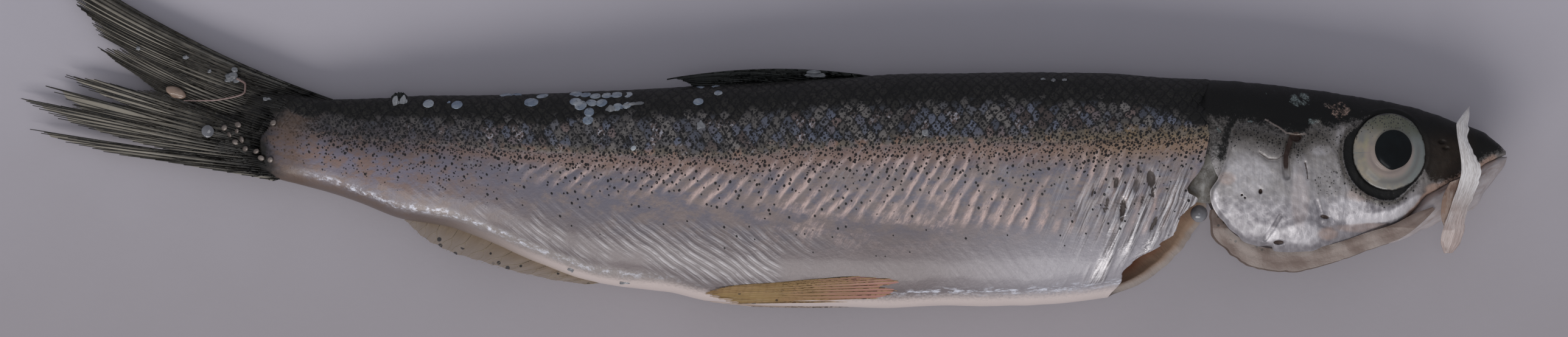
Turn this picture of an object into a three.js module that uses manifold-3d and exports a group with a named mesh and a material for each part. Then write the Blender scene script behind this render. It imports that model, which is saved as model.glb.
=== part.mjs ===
// A small silver whitefish with its tail, fins, eyes, gill covers and jaws, lying on its left side.
// Its throat is torn open behind the gill covers, as it is after the gills and the breast fins are pulled out.
//
// Frame, in millimetres: +X from tail to snout, +Y from belly to back, +Z up through the resting left flank.
// Tables are in per cent of the standard length, the way fish are measured: x is 0 at the root of the tail fin
// and 100 at the snout, y is 0 on the straight line that joins them, and z is 0 on the surface below.
import * as THREE from "three";
import { mergeVertices } from "three/addons/utils/BufferGeometryUtils.js";
import Module from "manifold-3d";

const STANDARD_LENGTH = 150; // snout to the root of the tail fin
const UNIT = STANDARD_LENGTH / 100;
const CLEARANCE = 0.3; // between neighbouring pieces
const SQUARENESS = 2.25; // exponent of the body's oval sections: 2 is an ellipse
const SECTION_POINTS = 24;

const COVER_THICKNESS = 1.0;
const FLAP_THICKNESS = 0.6; // a fin pressed against the flank
const THROAT_WALL_THICKNESS = 1.5;
const TALL = 40; // more than the fish's own height, for cutting prisms

const EYE = { x: 90.6, y: -0.5, radiusX: 4.45, radiusY: 4.65, radiusZ: 2.6, fromMid: 3.3 };

// Outline of the back, from the root of the tail to the snout.
const BACK = [
  [-2.4, 2.2], [-2.0, 3.0], [-1.0, 3.9], [1.2, 4.3], [4.2, 3.8], [10.6, 4.0], [18.5, 4.1], [23.3, 4.3],
  [29.0, 4.5], [34.3, 4.8], [39.9, 5.1], [47.0, 5.5], [53.6, 5.9], [61.1, 6.0], [71.6, 5.6], [77.3, 5.3],
  [81.7, 4.9], [86.0, 4.3], [90.4, 3.6], [93.7, 2.8], [95.8, 2.0], [98.0, 1.2], [99.3, 0.3], [100.0, -0.4],
];

// Outline of the belly. Between 67 and 79 it climbs into the torn throat.
const BELLY = [
  [-2.4, 1.3], [-2.0, -0.4], [-1.0, -1.6], [0.3, -2.5], [2.5, -3.1], [5.4, -3.9], [8.2, -4.9], [10.6, -5.8],
  [14.3, -6.4], [17.1, -7.4], [21.8, -9.4], [27.4, -11.2], [32.3, -11.7], [35.8, -12.5], [42.3, -12.9],
  [49.4, -13.0], [61.1, -12.8], [65.7, -12.5], [67.8, -12.1], [69.0, -10.4], [70.8, -8.7], [73.0, -7.3],
  [73.9, -4.4], [74.7, -3.8], [75.7, -3.7], [76.5, -5.8], [77.6, -7.0], [79.0, -8.0], [82.6, -8.5],
  [84.0, -8.5], [88.9, -7.2], [91.4, -6.4], [92.3, -5.5], [93.4, -4.2], [95.6, -2.9], [97.5, -2.0],
  [98.8, -1.2], [100.0, -0.7],
];

// Half the body's thickness, without the gill covers.
const HALF_WIDTH = [
  [-2.4, 0.35], [-1.0, 0.8], [1.0, 1.35], [2.9, 1.65], [7.9, 2.25], [12.8, 2.85], [20.1, 3.65], [27.5, 4.25],
  [37.3, 4.85], [47.2, 5.2], [57.0, 5.25], [66.8, 5.05], [74.7, 4.5], [76.7, 4.2], [80.6, 4.1], [86.5, 4.0],
  [91.4, 3.5], [95.3, 2.7], [97.8, 1.9], [99.3, 1.1], [100.0, 0.4],
];

// Height of the fish's middle plane above the surface: the thin tail sags lower than the trunk.
const MIDDLE = [[-21, 0.6], [-12, 1.1], [-2.4, 1.9], [7.9, 2.6], [20.1, 3.5], [37.3, 4.5], [52.0, 4.9],
  [66.8, 4.7], [80.6, 4.5], [91.4, 4.3], [100.0, 4.1]];

// The same outlines over the gill covers, which stand outside the head and hang a little below it.
const COVER_BELLY = [[74.0, -5.0], [76.0, -7.2], [77.6, -8.4], [79.0, -9.0], [82.6, -9.3], [86.0, -8.9], [89.0, -8.0]];
const COVER_HALF_WIDTH = [[74.0, 4.5], [76.7, 4.65], [80.6, 4.75], [84.0, 4.6], [86.5, 4.35], [89.0, 4.2]];
const COVER_OUTLINE = [
  [77.7, 1.7], [77.1, -0.7], [76.7, -2.2], [76.0, -3.8], [76.2, -5.2], [76.9, -6.0], [77.9, -7.1], [78.9, -7.8],
  [80.6, -8.3], [82.3, -8.5], [83.8, -8.6], [85.6, -8.1], [86.0, -6.9], [85.5, -4.4], [84.8, -2.0], [84.0, 0.5],
  [83.3, 1.7], [80.6, 2.4], [78.6, 2.4],
];

const THROAT_WALL_OUTLINE = [
  [66.0, -8.0], [66.5, -10.4], [69.1, -11.3], [70.0, -11.4], [70.9, -10.7], [72.2, -10.4], [72.9, -9.4],
  [73.8, -8.5], [74.7, -7.4], [75.3, -6.5], [75.8, -5.3], [75.6, -3.0], [72.0, -3.0],
];
const MEMBRANE_RIGHT_OUTLINE = [
  [76.2, -6.3], [77.0, -7.0], [78.6, -8.2], [80.6, -8.9], [83.8, -9.2], [86.2, -8.7], [88.2, -8.2], [88.0, -8.6],
  [85.6, -9.3], [83.0, -9.8], [80.6, -9.7], [78.8, -9.1], [77.2, -7.9],
];
const MEMBRANE_LEFT_OUTLINE = [
  [76.1, -6.3], [77.0, -7.0], [78.6, -8.2], [80.6, -8.9], [83.8, -9.2], [86.2, -8.7], [89.4, -7.9], [89.3, -8.3],
  [87.1, -9.1], [84.9, -9.8], [82.8, -10.2], [80.6, -10.1], [79.1, -9.6], [77.3, -8.4], [76.2, -7.1],
];
const LOWER_JAW_OUTLINE = [
  [100.1, -0.9], [99.9, -1.6], [99.1, -2.6], [98.4, -3.5], [97.6, -4.8], [96.3, -5.6], [94.5, -6.2], [93.4, -6.7],
  [91.4, -7.6], [89.9, -7.9], [90.7, -7.1], [92.3, -6.0], [93.6, -4.4], [95.6, -3.2], [97.5, -2.2], [98.8, -1.4],
  [99.6, -0.9],
];
const SWUNG_JAW_BLADE_OUTLINE = [
  [97.0, 3.1], [97.1, 2.6], [96.9, 0.9], [97.1, -0.4], [97.6, -1.4], [97.9, -2.5], [97.7, -3.9], [97.2, -5.4],
  [96.7, -7.2], [96.4, -8.6], [94.8, -8.6], [94.7, -7.2], [95.4, -4.6], [96.2, -2.4], [96.3, -1.3], [95.9, 0.4],
  [95.9, 1.6], [96.5, 2.4],
];
const CLOSED_JAW_BLADE_OUTLINE = [
  [98.2, -1.0], [97.0, -1.8], [95.2, -3.1], [93.6, -4.0], [92.4, -4.6], [91.9, -4.0], [92.6, -3.0], [94.6, -1.9],
  [96.6, -0.9], [97.8, -0.4],
];
const DORSAL_OUTLINE = [
  [32.2, 5.4], [34.6, 6.0], [37.7, 6.4], [42.1, 6.6], [45.3, 6.5], [47.8, 6.2], [49.6, 5.9], [50.4, 5.2],
  [46.0, 4.4], [37.3, 4.0], [34.4, 4.4], [34.9, 5.2], [33.6, 5.35],
];
const ANAL_OUTLINE = [
  [11.0, -5.6], [11.0, -6.0], [12.3, -7.4], [14.3, -8.5], [17.1, -9.4], [19.9, -10.2], [22.7, -10.7],
  [25.5, -11.1], [27.4, -11.6], [27.6, -10.8], [21.8, -8.6], [17.1, -6.6], [14.3, -5.6],
];
const PELVIC_RIGHT_OUTLINE = [
  [35.0, -12.0], [36.2, -11.6], [37.9, -11.2], [40.2, -11.0], [44.6, -10.8], [47.7, -10.5], [48.3, -10.3],
  [49.4, -11.0], [49.1, -12.0], [45.2, -12.5], [41.4, -12.7], [37.6, -12.7],
];
const PELVIC_LEFT_OUTLINE = [
  [33.9, -11.6], [33.9, -12.4], [35.8, -12.9], [38.9, -13.3], [41.4, -13.4], [46.4, -13.3], [49.6, -13.2],
  [49.1, -11.8], [42.3, -11.4], [37.3, -11.4],
];
const ADIPOSE_OUTLINE = [
  [9.5, 3.0], [9.7, 3.6], [10.2, 4.5], [10.9, 4.5], [11.5, 3.8], [11.3, 3.0], [10.3, 2.7],
];
// The tail fin, round from its upper root: the upper lobe, the fork, and the torn lower lobe.
const TAIL_OUTLINE = [
  [4.0, 3.8], [1.2, 5.2], [-1.4, 6.4], [-4.1, 7.7], [-7.6, 10.0], [-10.2, 11.7], [-14.3, 13.9], [-17.9, 15.6],
  [-17.3, 13.5], [-15.8, 11.6], [-14.6, 10.4], [-13.9, 9.1], [-12.8, 8.5], [-11.5, 7.9], [-13.7, 7.9],
  [-12.5, 6.9], [-11.1, 6.0], [-9.3, 4.6], [-11.1, 4.6], [-13.7, 5.3], [-16.6, 5.7], [-15.2, 4.8], [-11.6, 3.3],
  [-15.8, 4.2], [-18.1, 4.8], [-16.2, 3.5], [-15.3, 3.0], [-18.1, 3.5], [-20.5, 3.9], [-18.8, 3.1],
  [-17.1, 2.2], [-14.6, 1.4], [-11.1, 0.4], [-8.3, -0.3], [-12.9, 0.1], [-16.4, 0.7], [-19.4, 1.3],
  [-16.4, 0.3], [-12.8, -0.6], [-9.3, -1.1], [-5.8, -1.7], [-2.3, -2.3], [0.3, -2.8], [2.5, -2.6],
];

const wasm = await Module();
wasm.setup();

/** A smooth curve through rows of [x, value] that never swings past them (a monotone cubic). */
function smooth(rows) {
  const gap = rows.slice(1).map(([x], i) => x - rows[i][0]);
  const slope = rows.slice(1).map(([, v], i) => (v - rows[i][1]) / gap[i]);
  const tangent = rows.map((_, i) => {
    if (i === 0) return slope[0];
    if (i === rows.length - 1) return slope[i - 1];
    const [before, after] = [slope[i - 1], slope[i]];
    return before * after <= 0 ? 0 : (2 * before * after) / (before + after);
  });
  return (x) => {
    const inside = Math.min(Math.max(x, rows[0][0]), rows.at(-1)[0]);
    const i = Math.min(Math.max(rows.findIndex(([at]) => at > inside) - 1, 0), rows.length - 2);
    const k = inside >= rows.at(-1)[0] ? rows.length - 2 : i;
    const t = (inside - rows[k][0]) / gap[k];
    return (
      rows[k][1] * (1 + 2 * t) * (1 - t) ** 2 + tangent[k] * gap[k] * t * (1 - t) ** 2 +
      rows[k + 1][1] * t * t * (3 - 2 * t) + tangent[k + 1] * gap[k] * t * t * (t - 1)
    );
  };
}

const middle = smooth(MIDDLE);
const headAndTrunk = { back: smooth(BACK), belly: smooth(BELLY), half: smooth(HALF_WIDTH) };
const overCovers = { back: smooth(BACK), belly: smooth(COVER_BELLY), half: smooth(COVER_HALF_WIDTH) };

/** Numbers from one end to the other, a step apart. */
function steps(from, to, step) {
  const count = Math.round((to - from) / step);
  return Array.from({ length: count + 1 }, (_, i) => from + ((to - from) * i) / count);
}

const BODY_STATIONS = [
  -2.4, -2.0, -1.0, ...steps(0.2, 65, 3.2), ...steps(66.4, 79, 0.9), ...steps(80.5, 94, 1.7),
  ...steps(95, 99, 1.0), 99.6, 100,
];
const COVER_STATIONS = steps(74.5, 88.5, 1);

/** A closed solid of oval sections, each flattened where it would sink into the surface below. */
function oval(shape, stations, grow = 0) {
  const position = [];
  const index = [];
  const ends = grow ? [stations[0] - grow / UNIT, ...stations.slice(1, -1), stations.at(-1) + grow / UNIT] : stations;
  ends.forEach((x) => {
    const [top, bottom] = [shape.back(x) * UNIT + grow, shape.belly(x) * UNIT - grow];
    const half = shape.half(x) * UNIT + grow;
    const z = middle(x) * UNIT;
    for (let i = 0; i < SECTION_POINTS; i++) {
      const angle = (2 * Math.PI * i) / SECTION_POINTS;
      const across = Math.sign(Math.cos(angle)) * Math.abs(Math.cos(angle)) ** (2 / SQUARENESS);
      const up = Math.sign(Math.sin(angle)) * Math.abs(Math.sin(angle)) ** (2 / SQUARENESS);
      position.push(x * UNIT, (top + bottom) / 2 + ((top - bottom) / 2) * across, Math.max(z + half * up, -grow));
    }
  });
  const last = (ends.length - 1) * SECTION_POINTS;
  for (let ring = 0; ring < last; ring += SECTION_POINTS)
    for (let i = 0; i < SECTION_POINTS; i++) {
      const [a, b] = [ring + i, ring + ((i + 1) % SECTION_POINTS)];
      index.push(a, b, a + SECTION_POINTS, b, b + SECTION_POINTS, a + SECTION_POINTS);
    }
  for (let i = 1; i < SECTION_POINTS - 1; i++) index.push(0, i + 1, i, last, last + i, last + i + 1);
  const geometry = new THREE.BufferGeometry();
  geometry.setAttribute("position", new THREE.Float32BufferAttribute(position, 3));
  return geometry.setIndex(index);
}

/** An extruded outline whose height and thickness, in millimetres, follow functions of x and y in the tables' unit. */
function sheet(outline, height, thickness) {
  const shape = new THREE.Shape(outline.map(([x, y]) => new THREE.Vector2(x, y)));
  const geometry = new THREE.ExtrudeGeometry(shape, { depth: 1, bevelEnabled: false });
  const points = geometry.attributes.position;
  for (let i = 0; i < points.count; i++) {
    const [x, y, side] = [points.getX(i), points.getY(i), points.getZ(i) - 0.5];
    points.setXYZ(i, x * UNIT, y * UNIT, height(x, y) + side * thickness(x, y));
  }
  return geometry;
}

/** A geometry as a manifold-3d solid. */
function solid(geometry) {
  const bare = new THREE.BufferGeometry().setAttribute("position", geometry.attributes.position).setIndex(geometry.index);
  const merged = mergeVertices(bare, 1e-4);
  return new wasm.Manifold(
    new wasm.Mesh({
      numProp: 3,
      vertProperties: new Float32Array(merged.attributes.position.array),
      triVerts: new Uint32Array(merged.index.array),
    }),
  );
}

/** A manifold-3d solid's largest piece as a geometry: cuts leave crumbs that nothing needs. */
function geometryOf(cut) {
  const largest = cut.decompose().reduce((a, b) => (b.volume() > a.volume() ? b : a));
  const mesh = largest.getMesh();
  const geometry = new THREE.BufferGeometry();
  geometry.setAttribute("position", new THREE.Float32BufferAttribute(mesh.vertProperties, 3));
  geometry.setIndex([...mesh.triVerts]);
  geometry.computeVertexNormals();
  return geometry;
}

const body = (grow) => solid(oval(headAndTrunk, BODY_STATIONS, grow));
const covers = (grow) => solid(oval(overCovers, COVER_STATIONS, grow));
const bodyWithRoom = body(CLEARANCE);

/** A prism over an outline, from one height to another. */
const prism = (outline, low, high) => solid(sheet(outline, () => (low + high) / 2, () => high - low));

/** A thin piece pressed against the body's own surface, on the side between two heights. */
const pressed = (outline, low, high) =>
  body(CLEARANCE + FLAP_THICKNESS).subtract(bodyWithRoom).intersect(prism(outline, low, high));

/** A thin free-standing piece, cut where it would meet the body. */
const freeFin = (outline, height, thickness) => solid(sheet(outline, height, thickness)).subtract(bodyWithRoom);

function eyeball(side, grow) {
  const geometry = new THREE.SphereGeometry(1, 18, 12);
  geometry.rotateX(Math.PI / 2);
  geometry.scale(EYE.radiusX + grow, EYE.radiusY + grow, EYE.radiusZ + grow);
  geometry.translate(EYE.x * UNIT, EYE.y * UNIT, middle(EYE.x) * UNIT + side * EYE.fromMid);
  return solid(geometry);
}

function makeBody() {
  const wall = solid(sheet(THROAT_WALL_OUTLINE, throatWallHeight, () => THROAT_WALL_THICKNESS));
  return body(0).add(wall).subtract(eyeball(1, CLEARANCE)).subtract(eyeball(-1, CLEARANCE));
}

/** The left side of the torn throat, which follows the flank's curve up from the surface. */
function throatWallHeight(x, y) {
  const rise = Math.max(0, -6.5 - y) / 5;
  return THROAT_WALL_THICKNESS / 2 + 0.3 + 2.2 * rise ** 2;
}

function makeGillCover(side) {
  const line = middle(81) * UNIT;
  const half = side > 0 ? prism(COVER_OUTLINE, line + CLEARANCE, TALL) : prism(COVER_OUTLINE, -TALL, line - CLEARANCE);
  return covers(0).subtract(covers(-COVER_THICKNESS)).subtract(bodyWithRoom).intersect(half);
}

const makeMembrane = (outline, fromMid) =>
  freeFin(outline, (x, y) => middle(x) * UNIT + fromMid * Math.min(1, (y + 11) / 2.5), () => 0.7);

function makeLowerJaw() {
  const halfWidth = smooth([[89.9, 2.9], [94.0, 2.6], [97.5, 1.9], [99.2, 1.3], [100.1, 0.8]]);
  return freeFin(LOWER_JAW_OUTLINE, (x) => middle(x) * UNIT, (x) => 2 * halfWidth(x));
}

/** The right blade of the upper jaw, swung forward across the mouth, with its upper end free above the snout. */
function makeSwungJawBlade() {
  const aboveMid = smooth([[-8.6, 0.8], [-7.6, 2.2], [-6.5, 3.3], [-3.5, 3.6], [-0.5, 4.4], [3.1, 3.4]]);
  return freeFin(SWUNG_JAW_BLADE_OUTLINE, (x, y) => middle(x) * UNIT + aboveMid(y), () => 0.5);
}

function makeTailFin() {
  const thickness = smooth([[-20.5, 0.45], [-8.0, 0.7], [0.0, 1.3], [4.0, 1.6]]);
  return freeFin(TAIL_OUTLINE, (x) => middle(x) * UNIT, thickness);
}

function makeAnalFin() {
  const sag = (x, y) => middle(x) * UNIT - 0.35 * Math.max(0, headAndTrunk.belly(x) - y);
  return freeFin(ANAL_OUTLINE, sag, () => 0.7);
}

const COLOURS = {
  silverSkin: { color: 0x8d8686, roughness: 0.35, metalness: 0.3 },
  gillCover: { color: 0xb0acae, roughness: 0.3, metalness: 0.4 },
  membrane: { color: 0x8c7566, roughness: 0.5, metalness: 0 },
  jaw: { color: 0x9a8f8c, roughness: 0.4, metalness: 0.1 },
  jawBlade: { color: 0xcfcaca, roughness: 0.4, metalness: 0 },
  darkFin: { color: 0x35342f, roughness: 0.5, metalness: 0 },
  paleFin: { color: 0x9d8768, roughness: 0.5, metalness: 0 },
  eye: { color: 0x8f887c, roughness: 0.15, metalness: 0.1 },
};

const midUnderFins = middle(42) * UNIT;
const midAtMouth = middle(95) * UNIT;
const pieces = {
  body: [makeBody(), "silverSkin"],
  eye_right: [eyeball(1, 0), "eye"],
  eye_left: [eyeball(-1, 0), "eye"],
  gill_cover_right: [makeGillCover(1), "gillCover"],
  gill_cover_left: [makeGillCover(-1), "gillCover"],
  gill_membrane_right: [makeMembrane(MEMBRANE_RIGHT_OUTLINE, 0.9), "membrane"],
  gill_membrane_left: [makeMembrane(MEMBRANE_LEFT_OUTLINE, -2.6), "membrane"],
  lower_jaw: [makeLowerJaw(), "jaw"],
  upper_jaw_blade_right: [makeSwungJawBlade(), "jawBlade"],
  upper_jaw_blade_left: [pressed(CLOSED_JAW_BLADE_OUTLINE, -TALL, midAtMouth - CLEARANCE), "jawBlade"],
  dorsal_fin: [freeFin(DORSAL_OUTLINE, (x) => middle(x) * UNIT, () => 0.9), "darkFin"],
  adipose_fin: [pressed(ADIPOSE_OUTLINE, middle(10) * UNIT + CLEARANCE, TALL), "darkFin"],
  anal_fin: [makeAnalFin(), "paleFin"],
  pelvic_fin_right: [pressed(PELVIC_RIGHT_OUTLINE, midUnderFins + CLEARANCE, TALL), "paleFin"],
  pelvic_fin_left: [pressed(PELVIC_LEFT_OUTLINE, -TALL, midUnderFins - CLEARANCE), "paleFin"],
  tail_fin: [makeTailFin(), "darkFin"],
};

const fish = new THREE.Group();
for (const [name, [shape, colour]] of Object.entries(pieces)) {
  const mesh = new THREE.Mesh(geometryOf(shape), new THREE.MeshStandardMaterial(COLOURS[colour]));
  mesh.name = name;
  fish.add(mesh);
}

// The frame's origin is on the surface, under the middle of the whole fish.
const footprint = new THREE.Box3().setFromObject(fish);
fish.position.set(-(footprint.min.x + footprint.max.x) / 2, -(footprint.min.y + footprint.max.y) / 2, -footprint.min.z);

export default fish;
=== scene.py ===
"""A small whitefish that lies on its left flank, with its skin, head, jaws, fins and torn throat.

Tables are in hundredths of the standard length, from the snout to the root of the tail fin: x is 0 at that
root and 100 at the snout, y is 0 on the line that joins them, and z is 0 on the surface under the fish.
"""

import logging
import math
from dataclasses import dataclass
from enum import Enum
from typing import Callable, Sequence

import bmesh
import bpy
import numpy as np
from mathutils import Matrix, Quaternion, Vector


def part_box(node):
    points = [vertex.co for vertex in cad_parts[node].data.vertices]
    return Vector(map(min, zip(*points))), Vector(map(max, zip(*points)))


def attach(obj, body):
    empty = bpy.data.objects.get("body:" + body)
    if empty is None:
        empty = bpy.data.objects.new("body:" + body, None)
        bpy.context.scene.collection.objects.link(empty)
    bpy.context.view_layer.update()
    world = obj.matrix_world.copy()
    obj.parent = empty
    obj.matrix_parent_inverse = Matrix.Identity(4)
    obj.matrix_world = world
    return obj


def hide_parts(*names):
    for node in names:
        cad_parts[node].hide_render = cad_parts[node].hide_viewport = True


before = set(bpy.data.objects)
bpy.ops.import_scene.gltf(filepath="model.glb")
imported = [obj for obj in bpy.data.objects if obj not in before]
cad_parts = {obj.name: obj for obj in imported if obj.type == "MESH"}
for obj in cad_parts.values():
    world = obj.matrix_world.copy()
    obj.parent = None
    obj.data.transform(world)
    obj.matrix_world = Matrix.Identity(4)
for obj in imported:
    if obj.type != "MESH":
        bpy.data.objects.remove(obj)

Array = np.ndarray
Points = Sequence[tuple[float, float]]
Colour = tuple[float, float, float]
Field = Callable[[Array, Array], Array]
Socket = bpy.types.NodeSocket
Paint = Colour | Socket
Material = bpy.types.Material
Finishes = dict[str, Material]

log = logging.getLogger("whitefish")

UNIT_MM = 1.5


class Side(Enum):
    """The side of the fish that a piece is on, as the way its outer face looks."""

    RIGHT = 1
    LEFT = -1


class Slot(Enum):
    """The record's material slots."""

    SKIN = "skin"
    GILL_COVER = "gill_cover"
    MEMBRANE = "membrane"
    JAW = "jaw"
    JAW_BLADE = "jaw_blade"
    DARK_FIN = "dark_fin"
    PALE_FIN = "pale_fin"
    EYE = "eye"


# ---------------------------------------------------------------- numbers that vary along and over the fish


@dataclass(frozen=True)
class Curve:
    """A smooth curve through rows of (x, value) that never swings past them."""

    rows: tuple[tuple[float, float], ...]

    def __call__(self, x: Array | float) -> Array:
        """The value at x.

        Args:
            x: Places along the fish.

        Returns:
            One value for each place.
        """
        at, value = np.array(self.rows, float).T
        gap = np.diff(at)
        slope = np.diff(value) / gap
        product = slope[:-1] * slope[1:]
        total = np.where(product > 0, slope[:-1] + slope[1:], 1.0)
        tangent = np.concatenate(([slope[0]], np.where(product > 0, 2 * product / total, 0.0), [slope[-1]]))
        inside = np.clip(x, at[0], at[-1])
        k = np.clip(np.searchsorted(at, inside, side="right") - 1, 0, len(gap) - 1)
        t = (inside - at[k]) / gap[k]
        start = value[k] * (1 + 2 * t) * (1 - t) ** 2 + tangent[k] * gap[k] * t * (1 - t) ** 2
        return start + value[k + 1] * t * t * (3 - 2 * t) + tangent[k + 1] * gap[k] * t * t * (t - 1)


@dataclass(frozen=True)
class Grain:
    """Smooth random bumps between -1 and 1, the same on every run."""

    seed: int
    cells: int = 256

    def __call__(self, u: Array, v: Array) -> Array:
        """The bump height at two coordinates whose unit is one bump.

        Args:
            u: First coordinate.
            v: Second coordinate.

        Returns:
            A height for each place.
        """
        table = np.random.default_rng(self.seed).uniform(-1, 1, (self.cells, self.cells))
        i = np.floor(u).astype(int)
        j = np.floor(v).astype(int)
        a = (u - i) ** 2 * (3 - 2 * (u - i))
        b = (v - j) ** 2 * (3 - 2 * (v - j))
        wrap = self.cells
        low = table[i % wrap, j % wrap] * (1 - a) + table[(i + 1) % wrap, j % wrap] * a
        high = table[i % wrap, (j + 1) % wrap] * (1 - a) + table[(i + 1) % wrap, (j + 1) % wrap] * a
        return low * (1 - b) + high * b


def rise(value: Array, low: float, high: float) -> Array:
    """A smooth step from 0 at low to 1 at high."""
    t = np.clip((value - low) / (high - low), 0, 1)
    return t * t * (3 - 2 * t)


def peak(value: Array, centre: float | Array, width: float) -> Array:
    """A smooth bell that is 1 at the centre and fades over the width."""
    return np.exp(-(((value - centre) / width) ** 2))


def blob(
    x: Array, y: Array, place: tuple[float, float], radii: tuple[float, float], lean: float = 0.0,
) -> Array:
    """An oval patch that is 1 in its middle and 0 outside.

    Args:
        x: Places along the fish.
        y: Places across the fish.
        place: The oval's centre.
        radii: Its half length and half height.
        lean: How far its top leans towards the snout, for each unit of height.

    Returns:
        The patch's strength at each place.
    """
    dx = x - place[0] - lean * (y - place[1])
    return 1 - rise(np.hypot(dx / radii[0], (y - place[1]) / radii[1]), 0.6, 1.15)


def along(points: Points, count: int) -> Array:
    """Evenly numbered places along a polyline whose corners are rounded.

    Args:
        points: The corners.
        count: How many places.

    Returns:
        An array of (x, y) rows.
    """
    corners = np.array(points, float)
    step = np.concatenate(([0.0], np.cumsum(np.linalg.norm(np.diff(corners, axis=0), axis=1))))
    at = np.linspace(0, step[-1], count)
    return np.stack([Curve(tuple(zip(step, corners[:, k])))(at) for k in (0, 1)], axis=1)


def straight(points: Points, at: Array) -> Array:
    """Places along a polyline with its corners kept sharp.

    Args:
        points: The corners, numbered from 0 to 1 in even steps.
        at: Where to sample, from 0 to 1.

    Returns:
        An array of (x, y) rows.
    """
    corners = np.array(points, float)
    steps = np.linspace(0, 1, len(corners))
    return np.stack([np.interp(at, steps, corners[:, k]) for k in (0, 1)], axis=-1)


@dataclass(frozen=True)
class Chart:
    """Turns the tables' hundredths into metres in the frame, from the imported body's own box."""

    unit: float
    x0: float
    y0: float

    @classmethod
    def from_frame(cls) -> "Chart":
        """Reads scale and place from the body node, which spans x = -2.4 to 100 and rises to y = 6."""
        low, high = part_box("body")
        unit = (high.x - low.x) / 102.4
        return cls(unit=unit, x0=high.x - 100 * unit, y0=high.y - 6.0 * unit)

    def metres(self, points: Array) -> Array:
        """Places in metres.

        Args:
            points: Rows of (x, y, z) in hundredths.

        Returns:
            The same rows in metres.
        """
        return points * self.unit + np.array([self.x0, self.y0, 0.0])


@dataclass(frozen=True)
class Form:
    """An oval-sectioned body that lies on its left flank and is pressed flat there."""

    back: Curve
    belly: Curve
    half: Curve
    middle: Curve
    squareness: float = 2.25

    def ring(self, x: Array, angle: Array, shrink: float | Array = 0.0) -> Array:
        """Places on the body's surface.

        Args:
            x: Places along the fish.
            angle: 0 on the back, a quarter turn on the right flank, a half turn on the belly.
            shrink: How far inside the surface.

        Returns:
            An array whose last axis is (x, y, z).
        """
        top = self.back(x) - shrink
        bottom = self.belly(x) + shrink
        power = 2 / self.squareness
        across = np.sign(np.cos(angle)) * np.abs(np.cos(angle)) ** power
        up = np.sign(np.sin(angle)) * np.abs(np.sin(angle)) ** power
        y = (top + bottom) / 2 + (top - bottom) / 2 * across
        z = self.middle(x) + np.maximum(self.half(x) - shrink, 0.05) * up
        return np.stack([x + 0 * y, y, z], axis=-1)

    def height(self, x: Array, y: Array, side: Side = Side.RIGHT) -> Array:
        """How high the surface is on one side.

        Args:
            x: Places along the fish.
            y: Places across the fish.
            side: Which flank.

        Returns:
            The height, which is the middle plane's outside the outline.
        """
        centre = (self.back(x) + self.belly(x)) / 2
        reach = np.clip(np.abs(y - centre) / ((self.back(x) - self.belly(x)) / 2), 0, 1)
        up = (1 - reach**self.squareness) ** (1 / self.squareness)
        return self.middle(x) + side.value * self.half(x) * up


BACK = Curve((
    (-2.4, 2.2), (-2.0, 3.0), (-1.0, 3.9), (1.2, 4.3), (4.2, 3.8), (10.6, 4.0), (18.5, 4.1), (23.3, 4.3),
    (29.0, 4.5), (34.3, 4.8), (39.9, 5.1), (47.0, 5.5), (53.6, 5.9), (61.1, 6.0), (71.6, 5.6), (77.3, 5.3),
    (81.7, 4.9), (86.0, 4.3), (90.4, 3.6), (93.7, 2.8), (95.8, 2.0), (98.0, 1.2), (99.3, 0.3), (100.0, -0.4),
))
WHOLE_BELLY = Curve((
    (-2.4, 1.3), (-2.0, -0.4), (-1.0, -1.6), (0.3, -2.5), (2.5, -3.1), (5.4, -3.9), (8.2, -4.9), (10.6, -5.8),
    (14.3, -6.4), (17.1, -7.4), (21.8, -9.4), (27.4, -11.2), (32.3, -11.7), (35.8, -12.5), (42.3, -12.9),
    (49.4, -13.0), (61.1, -12.8), (65.7, -12.5), (68.0, -12.2), (71.7, -11.5), (74.7, -10.5), (80.0, -9.0),
))
HEAD_BELLY = Curve((
    (70.0, -3.4), (73.9, -3.7), (75.7, -3.9), (76.5, -5.4), (77.6, -6.8), (79.0, -7.8), (82.6, -8.5),
    (84.0, -8.5), (88.9, -7.2), (91.4, -6.4), (92.3, -5.5), (93.4, -4.2), (95.6, -2.9), (97.5, -2.0),
    (98.8, -1.2), (100.0, -0.7),
))
HALF_WIDTH = Curve((
    (-2.4, 0.35), (-1.0, 0.8), (1.0, 1.35), (2.9, 1.65), (7.9, 2.25), (12.8, 2.85), (20.1, 3.65),
    (27.5, 4.25), (37.3, 4.85), (47.2, 5.2), (57.0, 5.25), (66.8, 5.05), (74.7, 4.5), (76.7, 4.2),
    (80.6, 4.1), (86.5, 4.0), (91.4, 3.5), (95.3, 2.7), (97.8, 1.9), (99.3, 1.1), (100.0, 0.4),
))
MIDDLE = Curve((
    (-21.0, 0.6), (-12.0, 1.1), (-2.4, 1.9), (7.9, 2.6), (20.1, 3.5), (37.3, 4.5), (52.0, 4.9), (66.8, 4.7),
    (80.6, 4.5), (91.4, 4.3), (100.0, 4.1),
))
COVER_BELLY = Curve((
    (74.0, -6.5), (76.0, -7.7), (77.6, -8.6), (79.0, -9.2), (82.6, -9.4), (86.0, -9.0), (89.0, -8.0),
))
COVER_HALF_WIDTH = Curve(((74.0, 4.5), (76.7, 4.65), (80.6, 4.75), (84.0, 4.6), (86.5, 4.35), (89.0, 4.2)))
LATERAL_LINE = Curve((
    (0.0, 1.6), (3.6, 1.1), (7.2, 0.5), (11.9, 0.2), (20.1, -0.4), (37.4, -0.9), (42.3, -0.4), (52.1, 0.1),
    (65.8, 0.4), (75.7, 0.7),
))

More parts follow.
